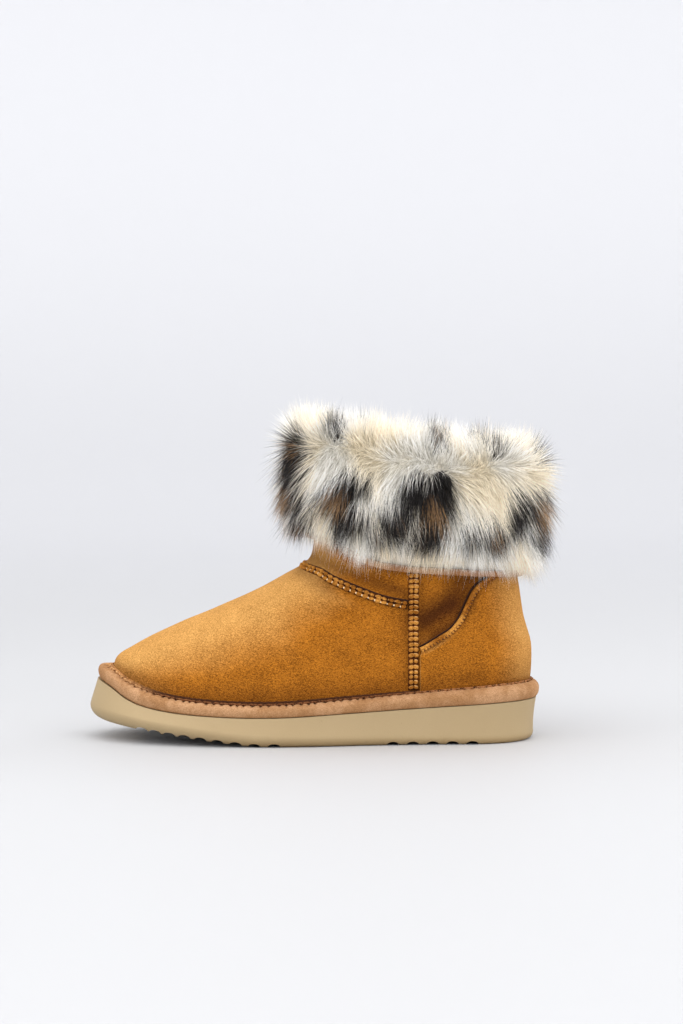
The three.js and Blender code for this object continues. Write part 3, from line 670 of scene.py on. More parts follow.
def footRing(angle):  # the rounding between the bottom and the side
    share = frontShare(soleTurns)
    radius = mix(sole["footHeelRadius"], sole["footToeRadius"], smooth(share))
    grown = mix(heelTop - sole["heelTuck"], toeTop + sole["toeFlare"], share)
    place = soleRim + soleOutward * (grown - radius * (1 - math.sin(angle)))[:, None]
    return np.column_stack([place, bottomHeight(place[:, 0]) + radius * (1 - math.cos(angle))])


def sideRing(t):  # the side from that rounding up to the band, slightly hollow
    low = footRing(math.pi / 2)
    ring = mix(low, soleTop, t)
    ring[:, :2] = mix(low, soleTop, t ** sole["sideCurve"])[:, :2]
    ring[:, :2] -= soleOutward * sole["hollow"] * math.sin(math.pi * t)
    return ring


rings = [footRing(angle) for angle in np.linspace(0, math.pi / 2, sole["footSteps"])]
rings += [sideRing(t) for t in np.linspace(0, 1, sole["sideSteps"] + 1)[1:]]
outsole = loftPiece("moulded_outsole", rings, [soleMaterial()], True)


def grooveCutter():
    points, faces = [], []
    places = [sole["heelStart"] + sole["heelPitch"] * i for i in range(sole["heelCount"])]
    places += [sole["foreStart"] - sole["forePitch"] * i * (1 - sole["foreCrowding"] * i)
               for i in range(sole["foreCount"])]
    wide, deep, reach = sole["grooveWidth"] / 2, sole["grooveDepth"], sole["grooveReach"]
    arch = [(math.cos(a) * wide, math.sin(a) * deep) for a in np.linspace(0, math.pi, 13)]
    outline = [(wide, -deep), *arch, (-wide, -deep)]
    n = len(outline)
    for x in places:
        slope = math.atan2(float(bottomHeight(x - 1) - bottomHeight(x + 1)), 2)
        start = len(points)
        for y in (-reach, reach):
            for a, b in outline:
                points.append((x + a * math.cos(slope) + b * math.sin(slope), y, float(
                    bottomHeight(x)) - a * math.sin(slope) + b * math.cos(slope)))
        faces += [tuple(start + i for i in range(n)),
                  tuple(start + n + i for i in reversed(range(n)))]
        faces += [(start + i, start + n + i, start + n + (i + 1) % n, start + (i + 1) % n)
                  for i in range(n)]
    # the cutter's near-black passes to the groove walls: painted shade
    cutter = addMesh("groove_cutter", points, faces, [grooveWallShade])
    faceOutwards(cutter)
    return cutter


def applied(piece):  # the piece with its modifiers made part of its mesh
    graph = bpy.context.evaluated_depsgraph_get()
    mesh = bpy.data.meshes.new_from_object(piece.evaluated_get(graph))
    piece.modifiers.clear()
    piece.data = mesh
    mesh.name = piece.name
    return piece


cutter = grooveCutter()
cut = outsole.modifiers.new("grooves", "BOOLEAN")
cut.operation, cut.solver, cut.material_mode, cut.object = "DIFFERENCE", "EXACT", "TRANSFER", cutter
applied(outsole)
bpy.data.objects.remove(cutter)
outsole.data.polygons.foreach_set("use_smooth", [True] * len(outsole.data.polygons))
outsole.data.set_sharp_from_angle(angle=math.radians(sole["sharpAngle"]))
settle(outsole, "outsole", "outsole")


print("insole")
bed = {"around": 200, "clearance": 0.6,
       "edge": ((0, 0), (2, 0), (4, 0.3), (5.4, 1.2), (6, 3))}  # up, inwards
bedTurns = evenTurns(bed["around"], 0)
bedReach = -last["wall"] - 2 * last["gap"] - bed["clearance"]
rings = [atSeat(soleOutline(bedTurns, bedReach - inset, bedReach - inset), last["gap"] + up)
         for up, inset in bed["edge"]]
insole = loftPiece("insole_bed", rings, [fleece], True)
settle(insole, "insole", "insole")


print("heel counter and cuff binding")
counter = {"frontX": 61.8, "peak": 103, "thickness": 1.5, "columns": 150, "rows": 26, "blur": 11,
           # section of the raised edge: down from the edge, outwards
           "bead": [(0, 0.1), (0.05, 1.3), (0.3, 2.3), (0.8, 2.85), (1.4, 2.65), (1.9, 2.0),
                    (2.4, 1.5), (3.2, 1.75)],
           "beadDepth": 4.2, "steepest": 0.42, "footGap": 3}
counterEdge = table("at up", [
    [0, 0.32], [0.08, 0.36], [0.165, 0.41], [0.29, 0.48], [0.38, 0.575], [0.45, 0.7],
    [0.52, 0.81], [0.6, 0.89], [0.72, 0.95], [0.86, 0.985], [1, 1],
])


def counterPlace(q, v):  # q runs from the front of the counter to the back of the heel and on
    inner = q > 1
    q = np.where(inner, 2 - q, q)
    u = turnAt((1 - q) * (backAt(v) - counter["frontX"]) / (backAt(v) - frontAt(v)))
    return np.where(inner, 1 - u, u)


around = np.linspace(0, math.pi, counter["columns"])
around = mix(np.linspace(0, 2, counter["columns"]), 1 - np.cos(around), 0.25)
edgeUp = np.interp(1 - np.abs(1 - around), counterEdge["at"], counterEdge["up"])
edgeUp = mix(last["heelSeat"], counter["peak"], edgeUp)
kernel = np.hanning(counter["blur"]) / np.hanning(counter["blur"]).sum()
edgeUp = np.convolve(np.pad(edgeUp, counter["blur"] // 2, mode="edge"), kernel, mode="valid")
edgeU, edgeV = riseTo(edgeUp, lambda v: counterPlace(around, v))
edge = dressed(edgeU, edgeV, 0.0)
edgeOut = upperNormal(edgeU, edgeV)
edgeDown = unit(np.cross(edgeOut, unit(np.gradient(edge, axis=0))))
edgeDown *= -np.sign(edgeDown[:, 2:3])
steep = 1 / np.clip(-edgeDown[:, 2], counter["steepest"], 1)
lowest = seatHeight(edge[:, 0]) + counter["footGap"]
startV = riseTo(np.maximum(edgeUp - counter["beadDepth"] * steep, lowest),
                lambda v: counterPlace(around, v))[1]
top = [edge + edgeDown * down + edgeOut * lift for down, lift in counter["bead"]]
under = [edge + edgeDown * down + edgeOut * 0.05 for down, _ in counter["bead"]]
for k in np.linspace(0, 1, counter["rows"]):
    v = startV * (1 - k)
    u = counterPlace(around, v)
    top.append(dressed(u, v, counter["thickness"] + 0.3))
    under.append(top[-1] - upperNormal(u, v) * (counter["thickness"] + 0.2))
heelCounter = patchPiece("heel_counter_suede", top, under, suede)
shadeNap(heelCounter)
settle(heelCounter, "suede", "heel_counter")

cuff = {"depth": 55, "clearance": 2.9, "around": 220, "hemHeight": 3.6, "hemThickness": 2.6,
        "hemSteps": 12}
hemLine = table("at lift", [  # the hem hangs low beside the foot and rises at the front
    [-0.1, 0], [0, 0], [0.3, -2.2], [0.58, -4], [0.72, -2.6], [0.88, 4.2], [1, 7.2], [1.1, 7.2],
])


def hemLift(u):
    return column(hemLine, "lift", frontShare(u))


def levelOut(u, v):
    flat = upperNormal(u, v)
    flat[..., 2] = 0
    return unit(flat)


def cuffPoint(u, rise, outwards):  # rise above the collar, or below it along the shaft
    u, rise, outwards = np.broadcast_arrays(np.asarray(u, float), rise, outwards)
    collar = upperSkin(u, 1.0)
    v = heightPlace(u, collar[..., 2] + np.minimum(rise, 0))
    on = np.where((rise < 0)[..., None], upperSkin(u, v), collar)
    up = unit(collar - upperSkin(u, 0.9)) * np.maximum(rise, 0)[..., None]
    return on + up + levelOut(u, np.where(rise < 0, v, 1.0)) * outwards[..., None]


cuffTurns = np.arange(cuff["around"]) / cuff["around"]
hemRise = hemLift(cuffTurns) - cuff["depth"] - last["gap"]
waves = (0.35 * np.sin(cuffTurns * 2 * np.pi * 9)
         + 0.25 * np.sin(cuffTurns * 2 * np.pi * 23 + 1)) * 0.6
rings = []
for angle in np.linspace(0, 2 * math.pi, cuff["hemSteps"], endpoint=False):
    thick = cuff["hemThickness"] * (0.5 + 0.5 * math.cos(angle))
    down = cuff["hemHeight"] * (0.5 - 0.5 * math.sin(angle))
    rings.append(cuffPoint(cuffTurns, hemRise - down, cuff["clearance"] + thick + waves))
binding = loftPiece("cuff_binding_suede", rings, [hemSuede])
settle(binding, "binding", "cuff_binding")


print("node trees for stitches, cords and hairs")


def nodeTree(name, inputs):
    tree = bpy.data.node_groups.new(name, "GeometryNodeTree")
    tree.interface.new_socket("Geometry", in_out="INPUT", socket_type="NodeSocketGeometry")
    for label, value in inputs.items():
        kind = {float: "Float", int: "Int", str: "Material"}[type(value)]
        socket = tree.interface.new_socket(label, in_out="INPUT", socket_type="NodeSocket" + kind)
        if kind != "Material":
            socket.default_value = value
    tree.interface.new_socket("Geometry", in_out="OUTPUT", socket_type="NodeSocketGeometry")
    net = Net(tree)
    return net, net.node("NodeGroupInput")


def finishTree(net, start, geometry):
    smoothed = net.node("GeometryNodeSetShadeSmooth", None, {0: geometry})
    inputs = {0: smoothed, "Material": start.out("Material")}
    net.node("NodeGroupOutput", None, {0: net.node("GeometryNodeSetMaterial", None, inputs)})
    return net.tree


def realized(net, geometry):
    return net.node("GeometryNodeRealizeInstances", None, {0: geometry})


def grow(piece, tree, values):  # runs a tree on a piece and keeps its plain mesh
    modifier = piece.modifiers.new(tree.name, "NODES")
    modifier.node_group = tree
    for socket in tree.interface.items_tree:
        if socket.name in values and socket.in_out == "INPUT":
            modifier[socket.identifier] = values[socket.name]
    piece.data.materials.clear()
    return applied(piece)


def named(net, name, kind="FLOAT"):
    settings = {"data_type": kind}
    return net.node("GeometryNodeInputNamedAttribute", settings, {"Name": name})


def store(net, geometry, name, value, kind="FLOAT", domain="POINT"):
    settings = {"data_type": kind, "domain": domain}
    inputs = {"Geometry": geometry, "Name": name, "Value": value}
    return net.node("GeometryNodeStoreNamedAttribute", settings, inputs)


def randomNumber(net, low, high, seed):
    inputs = {2: low, 3: high, "Seed": seed}
    return net.node("FunctionNodeRandomValue", {"data_type": "FLOAT"}, inputs, 1)


def randomVector(net, seed):
    inputs = {0: (-1, -1, -1), 1: (1, 1, 1), "Seed": seed}
    return net.node("FunctionNodeRandomValue", {"data_type": "FLOAT_VECTOR"}, inputs, 0)


def placed(net, points, shape, turn, size):
    inputs = {"Points": points, "Instance": shape, "Rotation": turn, "Scale": size}
    return realized(net, net.node("GeometryNodeInstanceOnPoints", None, inputs))


def stitchNodes():  # a small pillow at each point of a path
    net, start = nodeTree("seam_stitches", {
        "Length": 0.003, "Width": 0.001, "Height": 0.001, "Slant": 0.0, "Vary": 0.1,
        "Segments": 8, "Material": "thread"})
    path = net.node("GeometryNodeMeshToCurve", None, {0: start.out("Geometry")})
    turn = net.node("FunctionNodeAlignRotationToVector", {"axis": "X"},
                    {"Vector": net.node("GeometryNodeInputTangent")})
    turn = net.node("FunctionNodeAlignRotationToVector", {"axis": "Z", "pivot_axis": "X"},
                    {"Rotation": turn, "Vector": named(net, "outward", "FLOAT_VECTOR")})
    slant = net.node("FunctionNodeAxisAngleToRotation", None,
                     {"Axis": (0, 0, 1), "Angle": start.out("Slant")})
    turn = net.node("FunctionNodeRotateRotation", {"rotation_space": "LOCAL"},
                    {"Rotation": turn, "Rotate By": slant})
    ball = net.node("GeometryNodeMeshUVSphere", None,
                    {"Segments": start.out("Segments"), "Rings": 6, "Radius": 0.5})
    size = net.joined(start.out("Length"), start.out("Width"), start.out("Height"))
    uneven = net.scaled(randomVector(net, 5), start.out("Vary"))
    size = net.vector("MULTIPLY", size, net.vector("ADD", uneven, (1, 1, 1)))
    return finishTree(net, start, placed(net, path, ball, turn, size))


def cordNodes():  # a round cord along a path
    net, start = nodeTree("laid_cord", {"Thickness": 0.001, "Material": "thread"})
    path = net.node("GeometryNodeMeshToCurve", None, {0: start.out("Geometry")})
    ring = net.node("GeometryNodeCurvePrimitiveCircle", None,
                    {"Resolution": 6, "Radius": start.out("Thickness") * 0.5})
    cord = net.node("GeometryNodeCurveToMesh", None, {0: path, "Profile Curve": ring})
    return finishTree(net, start, realized(net, cord))


def hairNodes():  # hairs on a skin, gathered into clumps and tufts, and bent
    net, start = nodeTree("fur_hairs", {
        "Density": 1000.0, "Seed": 1, "Width": 0.0004, "Spread": 0.2, "Droop": 0.1,
        "Clump Size": 0.004, "Clump Pull": 0.5, "Tuft Size": 0.011, "Tuft Pull": 0.2,
        "Shortest": 0.6, "Wave": 0.1, "Bends": 3, "Material": "hair"})
    points = net.node("GeometryNodeDistributePointsOnFaces", None, {
        "Mesh": start.out("Geometry"), "Density": start.out("Density"), "Seed": start.out("Seed")})
    here = net.node("GeometryNodeInputPosition")
    lengths = named(net, "reach") * randomNumber(net, start.out("Shortest"), 1.1, 37)
    points = store(net, points, "root", here, "FLOAT_VECTOR")
    points = store(net, points, "strand", randomNumber(net, 0.0, 1.0, 11))
    points = store(net, points, "sway", randomVector(net, 23), "FLOAT_VECTOR")
    points = store(net, points, "long", lengths)
    sway = named(net, "sway", "FLOAT_VECTOR")
    aim = net.vector("ADD", named(net, "comb", "FLOAT_VECTOR"),
                     net.scaled(sway, start.out("Spread")))
    turn = net.node("FunctionNodeAlignRotationToVector", {"axis": "Z"}, {"Vector": aim})
    hair = net.node("GeometryNodeMeshCone", None, {
        "Vertices": 3, "Side Segments": start.out("Bends"), "Radius Top": 0.0,
        "Radius Bottom": 0.5, "Depth": 1.0})
    hair = store(net, hair, "along", net.split(here, "Z"))
    hair = store(net, hair, "rim", here, "FLOAT_VECTOR")
    size = net.joined(start.out("Width"), start.out("Width"), named(net, "long"))
    whole = placed(net, points, hair, turn, size)
    root, along, long = named(net, "root", "FLOAT_VECTOR"), named(net, "along"), named(net, "long")

    def towards(label, power):  # pulls the tips to the middle of their clump or tuft
        cells = {"Vector": root, "Scale": 1.0 / start.out(label + " Size")}
        middle = net.node("ShaderNodeTexVoronoi", None, cells, "Position")
        pull = start.out(label + " Pull") * along ** power
        return net.scaled(net.vector("SUBTRACT", middle, root), pull)
    pulled = net.vector("ADD", towards("Clump", 1.3), towards("Tuft", 1.5))
    fall = long * along * along * start.out("Droop") * named(net, "limp") * -1.0
    stir = net.noise(net.vector("ADD", root, net.scaled(sway, 0.003)), 120.0, 1.0, output="Color")
    curl = net.scaled(net.vector("SUBTRACT", stir, (0.5, 0.5, 0.5)),
                      long * start.out("Wave") * along ** 1.6)
    offset = net.vector("ADD", net.vector("ADD", pulled, net.joined(z=fall)), curl)
    bent = net.node("GeometryNodeSetPosition", None, {"Geometry": whole, "Offset": offset})
    rim = net.node("ShaderNodeSeparateXYZ", None, {0: named(net, "rim", "FLOAT_VECTOR")}, "X")
    bakeU = named(net, "skinU") + rim * 0.002 + along * 0.004
    bakeV = named(net, "skinV") + rim.out("Y") * 0.002 - along * 0.012
    bent = store(net, bent, "OFBake", net.joined(bakeU, bakeV), "FLOAT2", "CORNER")
    return finishTree(net, start, bent)


def pathMesh(name, lines):  # lines are (points, outward directions, closed)
    points, outward, edges = [], [], []
    for route, normals, closed in lines:
        start, n = len(points), len(route)
        points += list(route)
        outward += list(normals)
        edges += [(start + i, start + i + 1) for i in range(n - 1)]
        edges += [(start + n - 1, start)] if closed else []
    piece = addMesh(name, points, [], [], edges)
    addValues(piece, {"outward": outward}, "FLOAT_VECTOR")
    return piece


print("raised seams")
seams = {
    "side": {"x": 58, "width": 6.2, "rise": 1.35, "foot": 2, "top": 122, "pitch": 3.2},
    "instep": {"width": 4.9, "rise": 1.15, "peak": 0.985, "pitch": 3.9, "sink": 0.9,
               "sinkSpan": 26},
    "counter": {"pitch": 2.1},
    "points": 90, "unevenPlaces": 0.1, "unevenSizes": 0.18,
    # section of a welt: across, upwards
    "welt": [(-0.5, 0.0), (-0.48, 0.45), (-0.36, 0.95), (-0.22, 1.0), (-0.1, 0.7), (0, 0.4),
             (0.1, 0.7), (0.22, 1.0), (0.36, 0.95), (0.48, 0.45), (0.5, 0.0)],
}
instepRoute = table("forward up", [
    [0, 0.775], [0.24, 0.801], [0.42, 0.833], [0.6, 0.869], [0.785, 0.908], [0.95, 0.952],
])
stitchTree, cordTree = stitchNodes(), cordNodes()


def seamFrame(u, v):  # the middle of a seam, its outward directions and those across it
    centre, out = dressed(u, v, 0.0), upperNormal(u, v)
    return centre, out, unit(np.cross(unit(np.gradient(centre, axis=0)), out))


def weltPiece(name, seam, width, rise):
    centre, out, across = seam
    top = [centre + across * width * side + out * (0.3 + rise * 0.72 * lift)
           for side, lift in seams["welt"]]
    under = [centre + across * width * side * 0.98 + out * 0.05 for side, _ in seams["welt"]]
    # the welt takes the dark brown of the painted shade between the pillows
    return patchPiece(name, top, under, weltShadeSuede)


def beside(seam, pitch, shift, sideways, lift):  # a line of even places beside a seam's middle
    centre, out, across = seam
    line = centre + across * sideways + out * lift
    far = lengthAlong(line)
    at = np.arange(shift * pitch, far[-1] - 0.2 * pitch, pitch)
    loose = seams["unevenPlaces"]
    at = at + np.random.default_rng(len(at)).uniform(-loose, loose, len(at)) * pitch
    pick = lambda values: np.stack([np.interp(at, far, values[:, k]) for k in range(3)], -1)
    return pick(line), unit(pick(out)), False


def stitches(name, lines, material, length, width, height, slant, segments):
    piece = grow(pathMesh(name, lines), stitchTree, {
        "Length": length * mm, "Width": width * mm, "Height": height * mm,
        "Slant": math.radians(slant), "Vary": seams["unevenSizes"], "Segments": segments,
        "Material": material})
    settle(piece, "seam")


def laidCord(name, route, outward, thickness, material, closed=False):
    piece = grow(pathMesh(name, [(route, outward, closed)]), cordTree,
                 {"Thickness": thickness * mm, "Material": material})
    settle(piece, "seam")


side, instep = seams["side"], seams["instep"]
sideSeams = []
for inner in (False, True):
    rows = np.linspace(float(seatHeight(side["x"])) + side["foot"], side["top"], seams["points"])
    sideSeams.append(seamFrame(*locate(np.full(rows.shape, side["x"]), rows, inner)))
    name = "side_seam_inner" if inner else "side_seam_outer"
    welt = weltPiece(name + "_welt", sideSeams[-1], side["width"], side["rise"])
    settle(welt, "seam", name)

startX = side["x"] - side["width"] / 2 - 0.6
routeU, routeV = locate(mix(startX, throatX, instepRoute["forward"]),
                        last["instepHeight"] * instepRoute["up"])
crownV = float(heightPlace(0.5, last["instepHeight"] * instep["peak"]))
halfU = np.linspace(routeU[0], 0.5, seams["points"])
halfV = column({"at": np.append(routeU, 0.5), "v": np.append(routeV, crownV)}, "v", halfU)
instepSeam = seamFrame(np.concatenate([halfU, 1 - halfU[-2::-1]]),
                       np.concatenate([halfV, halfV[-2::-1]]))
centre, out, across = instepSeam
overFront = smooth(1 - np.abs(centre[:, 1]) / instep["sinkSpan"])
centre -= out * (instep["sink"] * overFront)[:, None]  # pressed in over the front of the shaft
welt = weltPiece("instep_seam_welt", instepSeam, instep["width"], instep["rise"])
settle(welt, "seam", "instep_seam")

# lighter threads on the side seam's rear row and the instep seam's lower row: painted highlights
for row, label, slant, thread in ((-1, "front", 14, threadGold), (1, "rear", -14, threadHighlight)):
    lines = [beside(seam, side["pitch"], 0.5, 1.4 * row, 1.0) for seam in sideSeams]
    stitches(f"side_seam_pillows_{label}", lines, pillowSuede, 2.7, 3.0, 2.9, 1.2 * slant, 10)
    lines = [beside(seam, side["pitch"], 0.8, 1.45 * row, 1.75) for seam in sideSeams]
    stitches(f"side_seam_threads_{label}", lines, thread, 0.55, 2.5, 0.9, slant, 8)
    label, length, height, thread = (("lower", 4.0, 2.4, threadCreamHighlight) if row < 0
                                     else ("upper", 3.3, 2.9, threadGold))
    stitches(f"instep_seam_pillows_{label}",
             [beside(instepSeam, instep["pitch"], 0.5, 1.15 * row, 0.85)],
             pillowSuede, length, 2.3, height, 0.6 * slant, 10)
    stitches(f"instep_seam_threads_{label}",
             [beside(instepSeam, instep["pitch"], 1.0, 1.25 * row, 1.5)],
             thread, 0.9, 1.2, 0.9, 1.6 * slant, 8)

edgeSeam, edgePitch = (edge, edgeOut, edgeDown), seams["counter"]["pitch"]
stitches("counter_stitches", [beside(edgeSeam, edgePitch, 0.5, 2.0, 2.25)], pillowSuede,
         1.6, 1.7, 1.6, 26, 8)
stitches("counter_threads", [beside(edgeSeam, edgePitch, 1.0, 2.1, 2.2)], threadBrown,
         0.5, 2.0, 0.9, 26, 6)
laidCord("counter_roll", edge + edgeDown * 0.7 + edgeOut * 1.9, edgeOut, 2.4, pillowSuede)
# dark cords laid above the counter's edge and above the instep seam: painted shadow of their grooves
laidCord("counter_groove_shadow", edge - edgeDown * 0.7, edgeOut, 1.3, grooveShadow)
upward = across * np.sign(across[:, 2:3])
laidCord("instep_groove_shadow", centre + upward * 2.7 + out * 0.1, out, 1.4, grooveShadow)


print("cord and stitches round the sole")


def cordMaterial(name, toe, foot, heel):
    material, net, feed = newMaterial(name, {"Roughness": 0.85, "Specular IOR Level": 0.15})
    place = net.place()
    fibre = net.noise(place, 620, 3, 0.65)
    pastToe = net.step(net.split(place, "X"), -0.116, -0.088)
    pastFoot = net.step(net.split(place, "X"), 0.04, 0.08)
    thread = net.blend(pastFoot, net.blend(pastToe, toe, foot), heel)
    # the darker fibres also stand for the shade between the two cords: partly the thread's own
    # fibres, partly painted shade
    gap = net.blend(pastToe, rgba(128, 84, 46), rgba(54, 28, 12))
    feed(Base_Color=net.blend(net.step(fibre, 0.35, 0.6), gap, thread),
         Normal=net.bump(fibre, 0.5, 0.0003))
    return material


cordLow = cordMaterial("cord_thread_low", rgba(200, 152, 102), rgba(122, 76, 44),
                       rgba(158, 106, 64))
cordHigh = cordMaterial("cord_thread_high", rgba(180, 126, 72), rgba(70, 38, 18),
                        rgba(122, 76, 42))
cord = {"points": 528, "pulledDown": 0.25, "low": (1.85, 0.45, 1.6, cordLow),
        "high": (0.55, 1.45, 1.45, cordHigh)}  # outwards, up, thickness
cordTurns = evenTurns(cord["points"], 2)
for label in ("low", "high"):
    outwards, up, thickness, material = cord[label]
    place = soleOutline(cordTurns, outwards, outwards)
    strength = stitchStrength(place[:, 0])
    dip = cord["pulledDown"] * puckerWave(cord["points"]) * strength
    route = atSeat(place, up * mix(0.3, 1, strength) - dip)
    upwards = np.tile((0, 0, 1.0), (len(route), 1))
    laidCord(f"sole_cord_{label}", route, upwards, thickness, material, closed=True)

pullTurns = evenTurns(band["puckers"], band["toeReach"])
pull = bandThickness(soleOutline(pullTurns, 0, 0)[:, 0]) * 0.4
outer = soleOutline(pullTurns, band["heelReach"] - pull, band["toeReach"] - pull)
route = atSeat(mix(outer, soleOutline(pullTurns, 1.2, 1.2), 0.5), 0.25)
stitches("band_stitches", [(route, np.tile((0, 0, 1.0), (len(route), 1)), True)], cordLow,
         1.0, 3.6, 1.1, 12, 6)


print("fur")
fur = {
    # section of the fur's roots, from down inside the collar over the fold to the hem. above and
    # out are in mm from the collar and the shaft. lean is the hair's angle above level, turning
    # from outwards over the top to inwards; limp is how much the hair falls
    "rows": table("at above out lean reach limp", [
        [0.00, -24, -5.2, 236, 8, 0.3], [0.08, -13, -6.6, 222, 10, 0.3],
        [0.16, -2, -7.0, 196, 12, 0.3], [0.23, 6, -5.0, 150, 15, 0.2],
        [0.30, 10.5, -1, 112, 19, 0.1], [0.36, 11.5, 4, 86, 20, 0.1],
        [0.42, 9.5, 8.5, 66, 21, 0.2], [0.48, 6, 11, 44, 19, 0.3], [0.53, 1.5, 12, 2, 16, 0.5],
        [0.58, -4, 12.4, -34, 19, 0.9], [0.66, -13, 12.4, -50, 22, 1],
        [0.76, -24, 12.2, -57, 22, 1], [0.86, -34, 11.5, -62, 19, 1],
        [0.94, -42, 9.5, -66, 15, 0.8], [1.00, -49, 6, -72, 10, 0.6],
    ]),
    "around": 200, "longest": 22, "underRows": 44,
    # the spots are paler over the fold, from crestDrop below the collar over crestRise
    "crestBack": 119, "crestSpan": 120, "crestDrop": 6, "crestRise": 8, "crestPale": 0.27,
    # dark spots by the place of their roots: x, z, half width, half height, tilt, brown share
    "outer": [
        (-11, 165, 10, 7, -20, 0.1), (-13, 153, 9, 8, 0, 0.9), (-4, 148, 6, 8, 0, 0.1),
        (26, 158, 9, 6, -15, 0), (15, 150, 9, 9, 0, 1), (22, 138, 10, 9, 10, 0.1),
        (73, 152, 7, 10, 0, 0.1), (60, 152, 9, 10, 10, 0), (46, 138, 10, 11, 20, 0.2),
        (69, 144, 9, 8, 10, 1), (67, 129, 12, 9, 0, 0.1), (91, 130, 7, 7, 0, 0.2),
        (104, 129, 7, 8, 0, 0.6), (117, 142, 7, 13, -10, 0), (130, 144, 7, 10, 0, 1),
        (132, 129, 8, 7, 0, 0), (14, 186, 8, 9, -10, 0.2), (-8, 173, 8, 7, 20, 0.3),
        (44, 184, 6, 5, 0, 0.3), (76, 178, 12, 8, 20, 0.6), (106, 174.5, 8, 8, 0, 0.3),
        (132, 167.5, 7, 7, 0, 0.2), (-8, 133, 8, 7, 0, 0.4), (36, 128, 5, 5, 0, 0.4),
    ],
    "inner": [
        (2, 152, 8, 13, 20, 0.6), (34, 140, 10, 10, -20, 0.7), (58, 158, 9, 9, 0, 0.2),
        (84, 138, 10, 12, 18, 0.8), (112, 150, 8, 12, -15, 0.5), (122, 126, 6, 6, 0, 0.3),
        (30, 182, 6, 4, 0, 0.4), (70, 177, 5, 6, 0, 0.1), (100, 173, 6, 5, 0, 0.5),
        (60, 126, 7, 5, 0, 0.4),
    ],
}


def furSkin(at):  # places and combing of the roots for a span of the section
    rows = fur["rows"]
    at, u = np.meshgrid(at, np.linspace(0, 1, fur["around"] + 1), indexing="ij")
    above = column(rows, "above", at)
    above = above + hemLift(u) * np.clip((-4 - above) / 45, 0, 1) * (at > 0.5)
    place = cuffPoint(u, above, column(rows, "out", at))
    level = levelOut(u, np.ones(u.shape))
    turn = 2 * np.pi * u
    wander = (0.03 * np.sin(3 * turn + 0.5) + 0.018 * np.sin(8 * turn + 2)
              + 0.01 * np.sin(13 * turn))
    lean = np.radians(column(rows, "lean", np.clip(at + wander, 0, 1)))
    side = np.stack([-level[..., 1], level[..., 0], np.zeros(u.shape)], -1)
    swirl = (0.24 * np.sin(7 * turn + 9 * at) + 0.22 * np.sin(3 * turn - 14 * at + 1)
             + 0.16 * np.sin(13 * turn + 27 * at + 3))
    rise = 0.16 * np.sin(5 * turn + 11 * at + 2) + 0.14 * np.sin(17 * turn - 19 * at)
    comb = level * np.cos(lean)[..., None] + side * swirl[..., None]
    comb[..., 2] += np.sin(lean) + rise
    return u, at, place, unit(comb)


def spotField(place):  # 1 in the middle of a spot, 0 half a width outside it
    x, y, z = np.moveaxis(place, -1, 0)
    dark, brown = np.zeros(x.shape), np.zeros(x.shape)
    for sideName, away in (("outer", y), ("inner", -y)):
        for x0, z0, wide, high, tilt, share in fur[sideName]:
            a = math.radians(tilt)
            dx, dz = x - x0, z - z0
            acrossSpot = (dx * math.cos(a) + dz * math.sin(a)) / wide
            upSpot = (dz * math.cos(a) - dx * math.sin(a)) / high
            far = np.sqrt(acrossSpot**2 + upSpot**2) + np.clip(away / 8, 0, 3)
            field = np.clip(1.5 - far, 0, 1)
            brown = np.where(field > dark, share * np.clip(1 - far * 1.1, 0, 1), brown)
            dark = np.maximum(dark, field)
    forward = np.clip((fur["crestBack"] - x) / fur["crestSpan"], 0, 1)
    crest = mix(last["collarBack"], last["collarFront"], forward) - fur["crestDrop"]
    return dark * (1 - fur["crestPale"] * smooth((z - crest) / fur["crestRise"])), brown


def skinPiece(name, low, high, rows, longer):
    u, at, place, comb = furSkin(np.linspace(low, high, rows))
    piece = addMesh(name, place, gridFaces(rows, u.shape[1], loopColumns=False), [])
    dark, brown = spotField(place)
    inside = smooth((0.25 - at) / 0.15)
    turn = 2 * np.pi * u
    far = np.maximum(48 - place[..., 0], place[..., 0] - 100)
    hemCover = smooth((at - 0.8) / 0.15) * smooth(far / 24)
    ragged = (1 + 0.12 * np.sin(11 * turn + 31 * at) + 0.1 * np.sin(23 * turn - 17 * at + 1)
              + 0.08 * np.sin(41 * turn + 29 * at + 2))
    reach = column(fur["rows"], "reach", at) * longer * ragged * (1 + 0.25 * hemCover)
    addValues(piece, {
        "reach": np.minimum(reach, fur["longest"]) * mm, "limp": column(fur["rows"], "limp", at),
        "dark": dark * (1 - inside * 0.8), "brown": brown, "skinU": 0.02 + 0.95 * u,
        "skinV": 0.03 + 0.92 * at})
    addValues(piece, {"comb": comb}, "FLOAT_VECTOR")
    return piece


